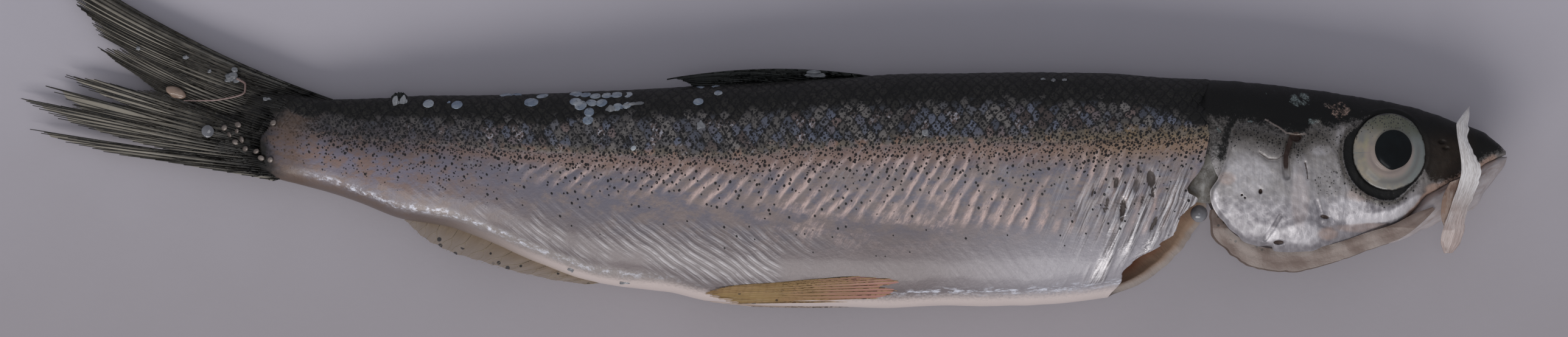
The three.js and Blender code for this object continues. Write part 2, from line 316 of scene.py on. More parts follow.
TRUNK_FORM = Form(BACK, WHOLE_BELLY, HALF_WIDTH, MIDDLE)
HEAD_FORM = Form(BACK, HEAD_BELLY, HALF_WIDTH, MIDDLE)
COVER_FORM = Form(BACK, COVER_BELLY, COVER_HALF_WIDTH, MIDDLE)
EYE_PLACE = (90.42, -0.45)
EYE_RADII = (2.98, 3.1)


# ---------------------------------------------------------------- meshes


def linked(name: str, data: bpy.types.ID) -> bpy.types.Object:
    """A new object in the scene.

    Args:
        name: Its name.
        data: Its mesh, light or camera.

    Returns:
        The object.
    """
    made = bpy.data.objects.new(name, data)
    bpy.context.scene.collection.objects.link(made)
    return made


def write_marks(mesh: bpy.types.Mesh, marks: dict[str, Array]) -> None:
    """Stores vectors on a mesh's vertices.

    Args:
        mesh: The mesh.
        marks: Rows of three numbers for each name.
    """
    for key, values in marks.items():
        layer = mesh.attributes.new(key, "FLOAT_VECTOR", "POINT")
        layer.data.foreach_set("vector", np.ascontiguousarray(values, dtype=np.float32).ravel())


@dataclass
class Shape:
    """Vertices, faces and what is known at each vertex, before they become a Blender object."""

    points: Array
    faces: list[tuple[int, ...]]
    marks: dict[str, Array]
    face_finish: Array | None = None

    def build(
        self, name: str, materials: Sequence[Material], chart: Chart, sharp: float = 50,
    ) -> bpy.types.Object:
        """Makes the object, its doubles merged and its faces pointing out.

        Args:
            name: The object's name.
            materials: One for each number in face_finish.
            chart: Turns the points into metres.
            sharp: The angle in degrees past which an edge isn't smoothed.

        Returns:
            The new object, linked to the scene.
        """
        mesh = bpy.data.meshes.new(name)
        mesh.from_pydata(chart.metres(self.points), [], self.faces)
        write_marks(mesh, self.marks)
        if self.face_finish is not None:
            mesh.polygons.foreach_set("material_index", self.face_finish.astype(np.int32))
        for material in materials:
            mesh.materials.append(material)
        tidy_mesh(mesh, sharp)
        return linked(name, mesh)


def tidy_mesh(mesh: bpy.types.Mesh, sharp: float) -> None:
    """Merges doubles, drops faces of no area, turns the faces outwards and smooths them.

    Args:
        mesh: The mesh to change.
        sharp: The angle in degrees past which an edge isn't smoothed.
    """
    work = bmesh.new()
    work.from_mesh(mesh)
    bmesh.ops.remove_doubles(work, verts=work.verts, dist=2e-7)
    bmesh.ops.dissolve_degenerate(work, dist=1e-7, edges=work.edges)
    if work.calc_volume(signed=True) < 0:
        bmesh.ops.reverse_faces(work, faces=work.faces)
    work.to_mesh(mesh)
    work.free()
    mesh.shade_smooth()
    mesh.set_sharp_from_angle(angle=math.radians(sharp))


def grid_faces(rows: int, columns: int, wrap: bool, first: int = 0) -> list[tuple[int, ...]]:
    """Quads between neighbouring rows and columns.

    Args:
        rows: How many rows of vertices.
        columns: How many vertices in a row.
        wrap: Whether the last column joins the first.
        first: The first vertex's number.

    Returns:
        The quads.
    """
    reach = columns if wrap else columns - 1
    return [
        (first + r * columns + c, first + r * columns + (c + 1) % columns,
         first + (r + 1) * columns + (c + 1) % columns, first + (r + 1) * columns + c)
        for r in range(rows - 1)
        for c in range(reach)
    ]


def tube(rings: Array, marks: dict[str, Array], finish: Array | None = None) -> Shape:
    """A closed shape of rings with a fan over each end.

    Args:
        rings: (ring, place round it, xyz).
        marks: The same for what is known at each vertex.
        finish: The material number of each stretch between rings.

    Returns:
        The shape.
    """
    count, around = rings.shape[:2]
    points = np.concatenate([rings.reshape(-1, 3), rings[:1].mean(axis=1), rings[-1:].mean(axis=1)])
    faces = grid_faces(count, around, wrap=True)
    start, end = count * around, count * around + 1
    faces += [(start, (c + 1) % around, c) for c in range(around)]
    last = (count - 1) * around
    faces += [(end, last + c, last + (c + 1) % around) for c in range(around)]
    known = {
        key: np.concatenate([values.reshape(-1, 3), values[:1].mean(axis=1), values[-1:].mean(axis=1)])
        for key, values in marks.items()
    }
    numbers = None
    if finish is not None:
        numbers = np.concatenate([
            np.repeat(finish, around), np.repeat(finish[:1], around), np.repeat(finish[-1:], around),
        ])
    return Shape(points, faces, known, numbers)


def slab(top: Array, thickness: Array | float, marks: dict[str, Array], wrap: bool = False) -> Shape:
    """A closed sheet: a grid, the same grid lower down, and a rim that joins them.

    Args:
        top: (row, column, xyz) of the upper face.
        thickness: How far below it the lower face is.
        marks: What is known at each vertex of the upper face.
        wrap: Whether the columns go right round, as in a disc whose first row is its centre.

    Returns:
        The shape.
    """
    rows, columns = top.shape[:2]
    bottom = top.copy()
    bottom[..., 2] -= thickness
    size = rows * columns
    faces = grid_faces(rows, columns, wrap)
    faces += [quad[::-1] for quad in grid_faces(rows, columns, wrap, size)]
    numbers = np.arange(size).reshape(rows, columns)
    loop = numbers[-1] if wrap else np.concatenate(
        [numbers[0], numbers[1:, -1], numbers[-1, -2::-1], numbers[-2:0:-1, 0]]
    )
    following = np.roll(loop, -1)
    if wrap:
        faces += [(int(a), int(b), int(b) + size, int(a) + size) for a, b in zip(following, loop)]
    else:
        faces += [(int(b), int(a), int(a) + size, int(b) + size) for a, b in zip(loop, following)]
    points = np.concatenate([top.reshape(-1, 3), bottom.reshape(-1, 3)])
    return Shape(points, faces, {key: np.concatenate([v.reshape(-1, 3)] * 2) for key, v in marks.items()})


def push_out(rings: Array, distance: Array) -> Array:
    """Moves the vertices of a ring grid along their outward normals.

    Args:
        rings: (ring, place round it, xyz).
        distance: How far each vertex goes.

    Returns:
        The moved grid.
    """
    lengthwise = np.gradient(rings, axis=0)
    closed = np.concatenate([rings[:, -1:], rings, rings[:, :1]], axis=1)
    round_it = (closed[:, 2:] - closed[:, :-2]) / 2
    normal = np.cross(lengthwise, round_it)
    normal /= np.maximum(np.linalg.norm(normal, axis=2, keepdims=True), 1e-9)
    centre = rings.mean(axis=1, keepdims=True)
    outward = np.sign(np.sum(normal * (rings - centre), axis=2).mean())
    return rings + normal * outward * distance[..., None]


def rest(points: Array, lowest: float = 0.0) -> Array:
    """Presses everything that would be under the surface flat on it."""
    points[..., 2] = np.maximum(points[..., 2], lowest)
    return points


# ---------------------------------------------------------------- shader maths


@dataclass(frozen=True)
class Value:
    """A number that varies over a surface, with the operators of arithmetic. Each one adds a Math node."""

    shader: "Shader"
    socket: Socket

    def math(self, operation: str, *others: "Value | float") -> "Value":
        """One Math node.

        Args:
            operation: The node's operation.
            others: Its further inputs.

        Returns:
            Its result.
        """
        inputs = dict(enumerate((self, *others)))
        return Value(
            self.shader, self.shader.node("ShaderNodeMath", {"operation": operation}, inputs).outputs[0],
        )

    def __add__(self, other: "Value | float") -> "Value":
        """The sum."""
        return self.math("ADD", other)

    __radd__ = __add__

    def __mul__(self, other: "Value | float") -> "Value":
        """The product."""
        return self.math("MULTIPLY", other)

    __rmul__ = __mul__

    def __sub__(self, other: "Value | float") -> "Value":
        """The difference."""
        return self.math("SUBTRACT", other)

    def __rsub__(self, other: float) -> "Value":
        """A number minus this one."""
        return self.math("MULTIPLY", -1.0).math("ADD", other)

    def __truediv__(self, other: "Value | float") -> "Value":
        """The quotient."""
        return self.math("DIVIDE", other)

    def rise(self, low: float, high: float) -> "Value":
        """A smooth step from 0 at low to 1 at high."""
        node = self.shader.node(
            "ShaderNodeMapRange", {"interpolation_type": "SMOOTHSTEP"},
            {"Value": self, "From Min": low, "From Max": high},
        )
        return Value(self.shader, node.outputs[0])

    def fall(self, low: float, high: float) -> "Value":
        """A smooth step from 1 at low to 0 at high."""
        return 1 - self.rise(low, high)

    def peak(self, centre: float, width: float) -> "Value":
        """A smooth bell that is 1 at the centre and 0 past the width."""
        return (self - centre).math("ABSOLUTE").fall(0, width)

    def clamp(self) -> "Value":
        """The number kept between 0 and 1."""
        return self.math("MAXIMUM", 0.0).math("MINIMUM", 1.0)


def srgb(red: float, green: float, blue: float) -> Colour:
    """A screen colour of 0 to 255 as linear light."""
    parts = np.array((red, green, blue)) / 255
    linear = np.where(parts <= 0.04045, parts / 12.92, ((parts + 0.055) / 1.055) ** 2.4)
    return tuple(float(part) for part in linear)


class NodeTree:
    """A node tree that is built one node at a time."""

    def __init__(self, tree: bpy.types.NodeTree) -> None:
        """Takes an empty tree."""
        self.tree = tree

    def feed(self, socket: Socket, value: object) -> None:
        """Fills one input.

        Args:
            socket: The input.
            value: A Value or socket to link to it, or its number, vector or colour.
        """
        source = value.socket if isinstance(value, Value) else value
        if isinstance(source, Socket):
            self.tree.links.new(source, socket)
        else:
            socket.default_value = (*source, 1) if socket.type == "RGBA" else source

    def node(self, kind: str, settings: dict | None = None, inputs: dict | None = None) -> bpy.types.Node:
        """Any node.

        Args:
            kind: The node's type.
            settings: Its properties.
            inputs: What goes into each input, by its name or number.

        Returns:
            The node.
        """
        made = self.tree.nodes.new(kind)
        for key, value in (settings or {}).items():
            setattr(made, key, value)
        for key, value in (inputs or {}).items():
            self.feed(made.inputs[key], value)
        return made


class Shader(NodeTree):
    """Builds one material around a Principled shader."""

    def __init__(self, name: str) -> None:
        """Starts an empty material.

        Args:
            name: The material's name.
        """
        self.material = bpy.data.materials.new(name)
        self.material.use_nodes = True
        super().__init__(self.material.node_tree)
        self.tree.nodes.clear()
        self.surface = self.node("ShaderNodeBsdfPrincipled")
        self.node("ShaderNodeOutputMaterial", inputs={"Surface": self.surface.outputs[0]})

    def mark(self, name: str) -> Socket:
        """A vertex mark of the piece, as a vector."""
        return self.node("ShaderNodeAttribute", {"attribute_name": name}).outputs["Vector"]

    def split(self, vector: Socket) -> tuple[Value, Value, Value]:
        """A vector's three numbers."""
        node = self.node("ShaderNodeSeparateXYZ", inputs={0: vector})
        return tuple(Value(self, output) for output in node.outputs[:3])

    def place(self) -> Socket:
        """The place on the object, in metres."""
        return self.node("ShaderNodeTexCoord").outputs["Object"]

    def turned(self, vector: Socket, scale: tuple[float, float, float], turn: float = 0.0,
               start: tuple[float, float, float] = (0.0, 0.0, 0.0)) -> Socket:
        """A vector moved, turned and scaled.

        Args:
            vector: What is turned.
            scale: A factor for each axis.
            turn: An angle about Z in degrees, turned before the scale.
            start: What is taken away first.

        Returns:
            The new vector.
        """
        shifted = self.node(
            "ShaderNodeVectorMath", {"operation": "SUBTRACT"}, {0: vector, 1: start},
        ).outputs[0]
        rolled = self.node(
            "ShaderNodeMapping", inputs={"Vector": shifted, "Rotation": (0, 0, math.radians(turn))},
        )
        node = self.node("ShaderNodeVectorMath", {"operation": "MULTIPLY"}, {0: rolled.outputs[0], 1: scale})
        return node.outputs[0]

    def noise(self, vector: Socket, scale: float, detail: float = 3, roughness: float = 0.55) -> Value:
        """Soft noise between 0 and 1.

        Args:
            vector: Where it is read.
            scale: How many lumps fit in one unit.
            detail: How many finer layers it has.
            roughness: How strong they are.

        Returns:
            The noise.
        """
        inputs = {"Vector": vector, "Scale": scale, "Detail": detail, "Roughness": roughness}
        return Value(self, self.node("ShaderNodeTexNoise", inputs=inputs).outputs[0])

    def cells(self, vector: Socket, scale: float) -> tuple[Value, Value]:
        """Flat random cells.

        Args:
            vector: Where they are read.
            scale: How many fit in one unit.

        Returns:
            The distance to a cell's middle, and a random number for each cell.
        """
        node = self.node(
            "ShaderNodeTexVoronoi", {"voronoi_dimensions": "2D"}, {"Vector": vector, "Scale": scale},
        )
        return Value(self, node.outputs["Distance"]), self.split(node.outputs["Color"])[0]

    def specks(self, vector: Socket, scale: float, size: float, density: Value) -> Value:
        """Random dots.

        Args:
            vector: Where they are read.
            scale: How many cells fit in one unit.
            size: A dot's radius, as a part of a cell.
            density: The part of the cells that have a dot.

        Returns:
            1 in a dot, 0 outside.
        """
        distance, chance = self.cells(vector, scale)
        spread = chance * 6.7
        shrunk = (spread - spread.math("FLOOR")) * size * 0.5
        return (distance - shrunk).fall(size * 0.35, size * 0.75) * (density - chance).rise(0, 0.03)

    def mix(self, factor: Value, low: Paint, high: Paint) -> Socket:
        """A blend of two colours.

        Args:
            factor: 0 for the first, 1 for the second; past them, it is cut off.
            low: The first colour.
            high: The second colour.

        Returns:
            The colour.
        """
        return self.node("ShaderNodeMix", {"data_type": "RGBA"}, {0: factor, 6: low, 7: high}).outputs[2]

    def bump(self, height: Value, depth: float, strength: float = 1.0) -> Socket:
        """A normal bent by a height.

        Args:
            height: The height, 1 being the full depth.
            depth: The full depth in metres.
            strength: How much of it shows.

        Returns:
            The normal.
        """
        return self.node(
            "ShaderNodeBump", inputs={"Height": height, "Distance": depth, "Strength": strength},
        ).outputs[0]

    def finish(self, **inputs: object) -> Material:
        """Sets the Principled shader's sockets, given by name with _ for a space.

        Args:
            inputs: A number, colour, Value or socket for each.

        Returns:
            The material.
        """
        for key, value in inputs.items():
            self.feed(self.surface.inputs[key.replace("_", " ")], value)
        return self.material


# ---------------------------------------------------------------- finishes


@dataclass(frozen=True)
class FlankSkin:
    """The trunk's skin: black on the back, scaled and blue-grey down to the lateral line, pink silver below.

    It reads three marks. grain is (mm along, mm round from the middle of the flank, muscle ridges passed).
    zone is (rise from the belly at -1 over the lateral line at 0 to the back at 1, hundredths above the
    belly's edge, hundredths along). relief is (muscle ridge, negative below its bend, torn fibre, wound).
    """

    back: Colour = srgb(17, 17, 15)
    back_scale: Colour = srgb(50, 48, 44)
    gap: Colour = srgb(29, 28, 26)
    haze: Colour = srgb(76, 74, 75)
    gloom: Colour = srgb(52, 49, 50)
    lens_blue: Colour = srgb(106, 111, 126)
    lens_grey: Colour = srgb(126, 121, 117)
    lens_pink: Colour = srgb(122, 106, 102)
    olive: Colour = srgb(112, 102, 88)
    gold: Colour = srgb(150, 124, 86)
    line: Colour = srgb(158, 126, 108)
    flank: Colour = srgb(142, 129, 125)
    flank_blue: Colour = srgb(118, 115, 125)
    # Painted highlight colour of the muscle ridges, also used for the painted pearly sheen.
    ridge: Colour = srgb(204, 180, 172)
    strand: Colour = srgb(184, 180, 182)
    # Painted shade colour beside the muscle ridges, also used for dark flecks under the lateral line.
    trough: Colour = srgb(84, 80, 84)
    belly: Colour = srgb(114, 105, 105)
    belly_bright: Colour = srgb(150, 146, 151)
    edge: Colour = srgb(222, 208, 202)
    rind: Colour = srgb(98, 84, 77)
    milky: Colour = srgb(168, 161, 156)
    # Painted glints and highlights: on some scales, along the belly's crease and on the belly band's crest.
    white: Colour = srgb(218, 220, 230)
    ink: Colour = srgb(15, 14, 15)
    sinew: Colour = srgb(214, 210, 210)
    flesh: Colour = srgb(80, 71, 67)
    violet: Colour = srgb(124, 117, 130)
    rust: Colour = srgb(136, 110, 98)
    umber: Colour = srgb(92, 74, 62)
    root: Colour = srgb(14, 13, 11)
    root_streak: Colour = srgb(30, 27, 22)
    scale_pitch: float = 1.42
    row_pitch: float = 0.98

    def lenses(self, x: Value, s: Value) -> tuple[Value, Value]:
        """The scales: a net of lozenges, each with its own random number.

        Args:
            x: Millimetres along the fish.
            s: Millimetres round it.

        Returns:
            1 in the middle of a scale and 0 at its rim, and a random number for each scale.
        """
        q = s / self.row_pitch
        p = x / self.scale_pitch

        def family(offset: float) -> tuple[Value, Value]:
            """One of the two interleaved sets of scales.

            Args:
                offset: 0 or 1, the set's own shift.

            Returns:
                The distance from the scale's middle and its random number.
            """
            row = ((q - offset) / 2).math("ROUND") * 2 + offset
            column = (p - 0.5 * offset).math("ROUND") + 0.5 * offset
            wide = ((p - column) / 0.5).math("ABSOLUTE").math("POWER", 1.25)
            tall = ((q - row) / 1.0).math("ABSOLUTE").math("POWER", 1.25)
            scatter = (column * 12.9898 + row * 78.233).math("SINE") * 437.58
            return wide + tall, scatter - scatter.math("FLOOR")

        away_a, tag_a = family(0.0)
        away_b, tag_b = family(1.0)
        on_b = (away_a - away_b).math("GREATER_THAN", 0.0)
        return away_a.math("MINIMUM", away_b).fall(0.5, 0.92), tag_a * (1 - on_b) + tag_b * on_b

    def upper_colour(self, shader: Shader, grain: Socket, scale: tuple[Value, Value], height: Value,
                     along_fish: Value, mottle: Value) -> Socket:
        """The colour above the lateral line, without its speckles.

        Args:
            shader: The material's builder.
            grain: The grain mark.
            scale: How far inside its scale a place is, and the scale's random number.
            height: The rise from the lateral line to the back.
            along_fish: Hundredths along.
            mottle: Soft noise.

        Returns:
            The colour.
        """
        lens, tag = scale
        kind = shader.mix(tag.rise(0.3, 0.5), self.lens_grey, self.lens_blue)
        kind = shader.mix(tag.rise(0.7, 0.8), kind, self.lens_pink)
        glitter = shader.noise(shader.turned(grain, (3.0, 1.6, 0), 20), 1.0, 3, 0.7)
        # Painted glints: a few scales turned white.
        kind = shader.mix(tag.rise(0.84, 0.9) * glitter.rise(0.48, 0.62) * 0.7, kind, self.white)
        ground = shader.mix(
            along_fish.fall(30, 50) * 0.6 + mottle.rise(0.45, 0.7) * 0.25, self.gap, self.haze,
        )
        shine = lens * (0.35 + 0.7 * ((tag * 3.7) - (tag * 3.7).math("FLOOR"))) * (0.55 + glitter * 0.8)
        colour = shader.mix(shine, ground, kind)
        slant = shader.noise(shader.turned(grain, (1.5, 0.24, 0), -27), 1.0, 3, 0.55)
        colour = shader.mix(
            slant.rise(0.54, 0.66) * along_fish.fall(45, 60) * height.peak(0.28, 0.3), colour, self.gap,
        )
        blush = shader.noise(shader.turned(grain, (0.62, 0.5, 0)), 1.0, 3, 0.55)
        low = (height + (mottle - 0.5) * 0.3 - along_fish.rise(56, 68) * 0.1).fall(0.0, 0.17)
        warm = shader.mix((blush + along_fish * 0.002).rise(0.6, 0.85), self.olive, self.gold)
        warm = shader.mix(blush.rise(0.48, 0.62) * along_fish.fall(56, 68), warm, self.line)
        return shader.mix(low * 0.8, colour, warm)

    def lower_colour(self, shader: Shader, grain: Socket, height: Value, edge: Value, along_fish: Value,
                     mottle: Value, fine: Value) -> Socket:
        """The colour below the lateral line, without its speckles.

        Args:
            shader: The material's builder.
            grain: The grain mark.
            height: The rise from the belly to the lateral line.
            edge: Hundredths above the belly's edge.
            along_fish: Hundredths along.
            mottle: Soft noise.
            fine: Finer noise.

        Returns:
            The colour.
        """
        _, _, passed = shader.split(grain)
        arms, fibre, _ = shader.split(shader.mark("relief"))
        ridge, thin = arms.clamp(), (arms * -1).clamp()
        bluer = along_fish.fall(14, 36) * 0.16
        colour = shader.mix(
            (mottle + (fine - 0.5) * 0.3 - bluer).rise(0.36, 0.6), self.flank_blue, self.flank,
        )
        belly = shader.mix(along_fish.rise(50, 66), self.belly, self.belly_bright)
        colour = shader.mix((height + (fine - 0.5) * 0.15).fall(-0.72, -0.25), colour, belly)
        colour = shader.mix(height.peak(-0.05, 0.12) * (0.3 + fine * 0.7), colour, self.line)
        turn = (passed - passed.math("FLOOR"))
        brush = shader.noise(shader.turned(grain, (1.6, 0.4, 0), 32), 1.4, 4, 0.7)
        # Painted highlight along the middle of each muscle ridge's upper arm, painted shade at its edges.
        lit = turn.rise(0.2, 0.7) * turn.fall(0.72, 0.95) * (0.2 + 1.1 * brush.rise(0.34, 0.66))
        colour = shader.mix(lit * ridge * 1.3, colour, self.ridge)
        shade = turn.peak(1.0, 0.24).math("MAXIMUM", turn.peak(0.0, 0.24)) * ridge
        colour = shader.mix(shade * 0.3, colour, self.trough)
        comb = shader.noise(shader.turned(grain, (0.35, 2.2, 0), 26), 1.0, 4, 0.7)
        hair = (
            turn.peak(0.55, 0.2) * comb.rise(0.36, 0.6)
            + (turn * 2 - (turn * 2).math("FLOOR")).peak(0.5, 0.25) * 0.45
        )
        colour = shader.mix(hair * thin * 1.2, colour, self.strand)
        # Painted shade in the bands between the thin lower arms of the muscle ridges.
        colour = shader.mix(
            (turn.peak(0.92, 0.22) * 0.5 + comb.fall(0.3, 0.5) * 0.4) * thin, colour, self.trough,
        )
        worn = height.fall(-0.12, -0.3) * (1 - ridge)
        colour = shader.mix(fine.rise(0.48, 0.66) * worn * 0.3, colour, self.trough)
        colour = shader.mix(brush.rise(0.5, 0.7) * worn * 0.4, colour, self.strand)
        # A painted pearly sheen in soft clouds below the lateral line.
        cloud = shader.noise(shader.turned(grain, (0.22, 0.5, 0), 12), 1.0, 4, 0.65)
        painted_sheen = (
            cloud.rise(0.46, 0.66) * height.peak(-0.42, 0.3) * along_fish.rise(34, 44)
            * along_fish.fall(54, 64)
        )
        colour = shader.mix(painted_sheen * (0.1 + brush.rise(0.4, 0.66) * 0.7), colour, self.ridge)
        skirt = (edge + (fine - 0.5) * 0.7).fall(0.4, 1.15)
        under = shader.mix(along_fish.fall(12, 26), self.edge, self.rind)
        colour = shader.mix(skirt * 0.85, colour, under)
        # Painted white glints along the crease above the belly's edge.
        glint = shader.noise(shader.turned(grain, (0.5, 1.6, 0), 0), 1.5, 4, 0.7)
        crease_glints = (
            (edge + (mottle - 0.5) * 0.9 + (fine - 0.5) * 0.3).peak(1.2, 0.4) * along_fish.rise(46, 53)
            * glint.rise(0.45, 0.64)
        )
        colour = shader.mix(crease_glints * 0.9, colour, self.white)
        centre = edge + (mottle - 0.5) * 0.6
        band = centre.peak(1.05, 0.7) * along_fish.fall(26, 38) * along_fish.rise(1.5, 5)
        wide_glint = shader.noise(shader.turned(grain, (0.7, 1.1, 0), 12), 1.5, 5, 0.75)
        colour = shader.mix(band * 0.75 * (0.1 + fine * 1.2) * along_fish.rise(7, 15), colour, self.milky)
        # A painted highlight along the crest of the belly band.
        crest = (edge + (mottle - 0.5) * 0.5).peak(1.1, 0.5) * band
        colour = shader.mix(
            crest * 1.2 * wide_glint.rise(0.47, 0.62) * (1 - along_fish.rise(14, 24) * 0.5), colour,
            self.white,
        )
        thread = shader.noise(shader.turned(grain, (3.4, 0.22, 0), 23), 1.0, 4, 0.7)
        colour = shader.mix(fibre * (0.15 + thread.rise(0.4, 0.66)), colour, self.sinew)
        # Flesh colour between the torn fibres, standing for both the flesh and the painted shade in the gaps.
        gap_flesh_and_shade = (fibre * 1.8).clamp() * thread.fall(0.36, 0.54) * 0.72
        return shader.mix(gap_flesh_and_shade, colour, self.flesh)

    def speckles(self, shader: Shader, grain: Socket, height: Value, along_fish: Value, mottle: Value,
                 fibre: Value) -> Value:
        """The black pigment dots, crowded at the lateral line and few on the flank.

        Args:
            shader: The material's builder.
            grain: The grain mark.
            height: The rise from the belly to the back.
            along_fish: Hundredths along.
            mottle: Soft noise.
            fibre: The torn fibres, which have none.

        Returns:
            1 in a dot.
        """
        patchy = 0.55 + mottle.rise(0.3, 0.65) * 0.6
        gilt = along_fish.rise(56, 68) * height.peak(0.02, 0.24) * 0.4
        near = (height.rise(-0.42, 0.1) * 0.75 + height.rise(-0.12, 0.04) * 0.2) * patchy + gilt - fibre * 0.5
        dots = shader.specks(shader.turned(grain, (1.0, 0.85, 0), 20), 1.9, 0.34, near * 0.85)
        narrow = along_fish.fall(10, 26)
        crowd = height.rise(-0.2, 0.05) * 0.75 + height.rise(-0.75, -0.35) * narrow * 0.3 + gilt * 0.6
        small = shader.specks(shader.turned(grain, (1.0, 0.9, 0), 50), 3.1, 0.34, crowd * patchy)
        dash = shader.specks(
            shader.turned(grain, (1.1, 0.9, 0), -24), 0.95, 0.16, height.rise(-0.8, -0.1) * 0.55 * patchy,
        )
        return dots.math("MAXIMUM", small * 0.9).math("MAXIMUM", dash)

    def build(self) -> Material:
        """Makes the material."""
        shader = Shader("flank_skin")
        grain = shader.mark("grain")
        x, s, _ = shader.split(grain)
        height, edge, along_fish = shader.split(shader.mark("zone"))
        ridge, fibre, wound = shader.split(shader.mark("relief"))
        mottle = shader.noise(shader.turned(grain, (0.35, 0.7, 0)), 1.0, 4, 0.6)
        fine = shader.noise(shader.turned(grain, (1.0, 1.0, 0)), 2.6, 4, 0.65)
        slow = shader.noise(shader.turned(grain, (0.5, 0.5, 0)), 1.0, 2, 0.5)
        scale = self.lenses(
            x + (slow - 0.5) * 1.2 + (fine - 0.5) * 0.4, s + (mottle - 0.5) * 1.3 + (fine - 0.5) * 0.3,
        )

        above = (height + (fine - 0.5) * 0.04).rise(-0.03, 0.05)
        lens, tag = scale
        limit = along_fish.fall(20, 34) * 0.06 + along_fish.rise(70.0, 75.5) * 0.34
        dark = (
            height + limit + (mottle - 0.5) * 0.18 + (tag - 0.5) * 0.2 + (fine - 0.5) * 0.08
        ).rise(0.48, 0.64)
        upper = self.upper_colour(shader, grain, scale, height, along_fish, mottle)
        lower = self.lower_colour(shader, grain, height, edge, along_fish, mottle, fine)
        colour = shader.mix(above, lower, upper)
        golden = height.peak(-0.02, 0.17) * along_fish.rise(60, 70) * (0.1 + fine * 0.8)
        colour = shader.mix(golden * 0.8, colour, self.gold)
        narrow = along_fish.fall(8, 24)
        tint = shader.noise(shader.turned(grain, (0.5, 0.9, 0), -15), 1.0, 4, 0.65)
        warm = shader.mix(tint.rise(0.42, 0.6), self.violet, self.rust)
        colour = shader.mix(height.peak(-0.3, 0.8) * narrow * (0.4 + fine * 0.8), colour, warm)
        dusk = (height + (mottle - 0.5) * 0.3).rise(-0.4, 0.1) * narrow
        colour = shader.mix(dusk * (0.45 + fine * 0.6), colour, self.gloom)
        scaly = lens * (0.35 + tag * 0.5) * mottle.rise(0.25, 0.6) * (1 - along_fish.rise(71.5, 75.5) * 0.7)
        back = shader.mix(scaly, self.back, self.back_scale)
        colour = shader.mix(dark, colour, back)

        spots = self.speckles(shader, grain, height, along_fish, mottle, fibre)
        colour = shader.mix(spots * (1 - wound) * 0.95, colour, self.ink)
        streak = shader.noise(shader.turned(grain, (0.25, 2.5, 0)), 1.0, 3, 0.6)
        broken = streak.rise(0.42, 0.66) * (0.35 + along_fish.rise(56, 68) * 0.5)
        groove = (height + (fine - 0.5) * 0.03).peak(0.0, 0.03) * broken * along_fish.rise(3, 12)
        colour = shader.mix(groove, colour, self.ink)
        colour = shader.mix((wound + (fine - 0.5) * 0.3 * wound).rise(0.25, 0.6), colour, self.flesh)

        fan = shader.noise(shader.turned(grain, (0.3, 3.2, 0), 6), 1.0, 3, 0.6)
        rayed = shader.mix(fan.rise(0.4, 0.65), self.root, self.root_streak)
        curve = (height * 0.9).math("ABSOLUTE") * -1.6
        tail = (along_fish + curve - height * 0.8 + (mottle - 0.5) * 1.8 + (fine - 0.5) * 0.8).fall(-1.0, 1.2)
        hem = (along_fish + curve - height * 0.8 + (mottle - 0.5) * 1.8).peak(1.4, 2.4) * (0.25 + fine)
        colour = shader.mix((hem * (1 - dark)).clamp() * 0.85, colour, self.umber)
        colour = shader.mix(tail, colour, rayed)

        wet = shader.noise(shader.turned(grain, (1.0, 1.4, 0)), 1.1, 4, 0.65)
        relief = fine * 0.3 + lens * (dark * 0.5 + above * 0.6) + wet * 0.5 + fibre * streak * 0.6
        silver = (
            (1 - dark) * (1 - tail) * (0.12 + ridge * 0.12 + fibre * 0.25 + (1 - above) * 0.12) * (1 - wound)
        )
        return shader.finish(
            Base_Color=colour,
            Metallic=silver.clamp(),
            Roughness=(0.34 + fine * 0.24 + dark * 0.1 - fibre * 0.08).clamp(),
            Normal=shader.bump(relief, 0.00013, 0.85),
            Specular_IOR_Level=0.26,
            Coat_Weight=(0.3 - dark * 0.22).clamp(),
            Coat_Roughness=0.16,
        )


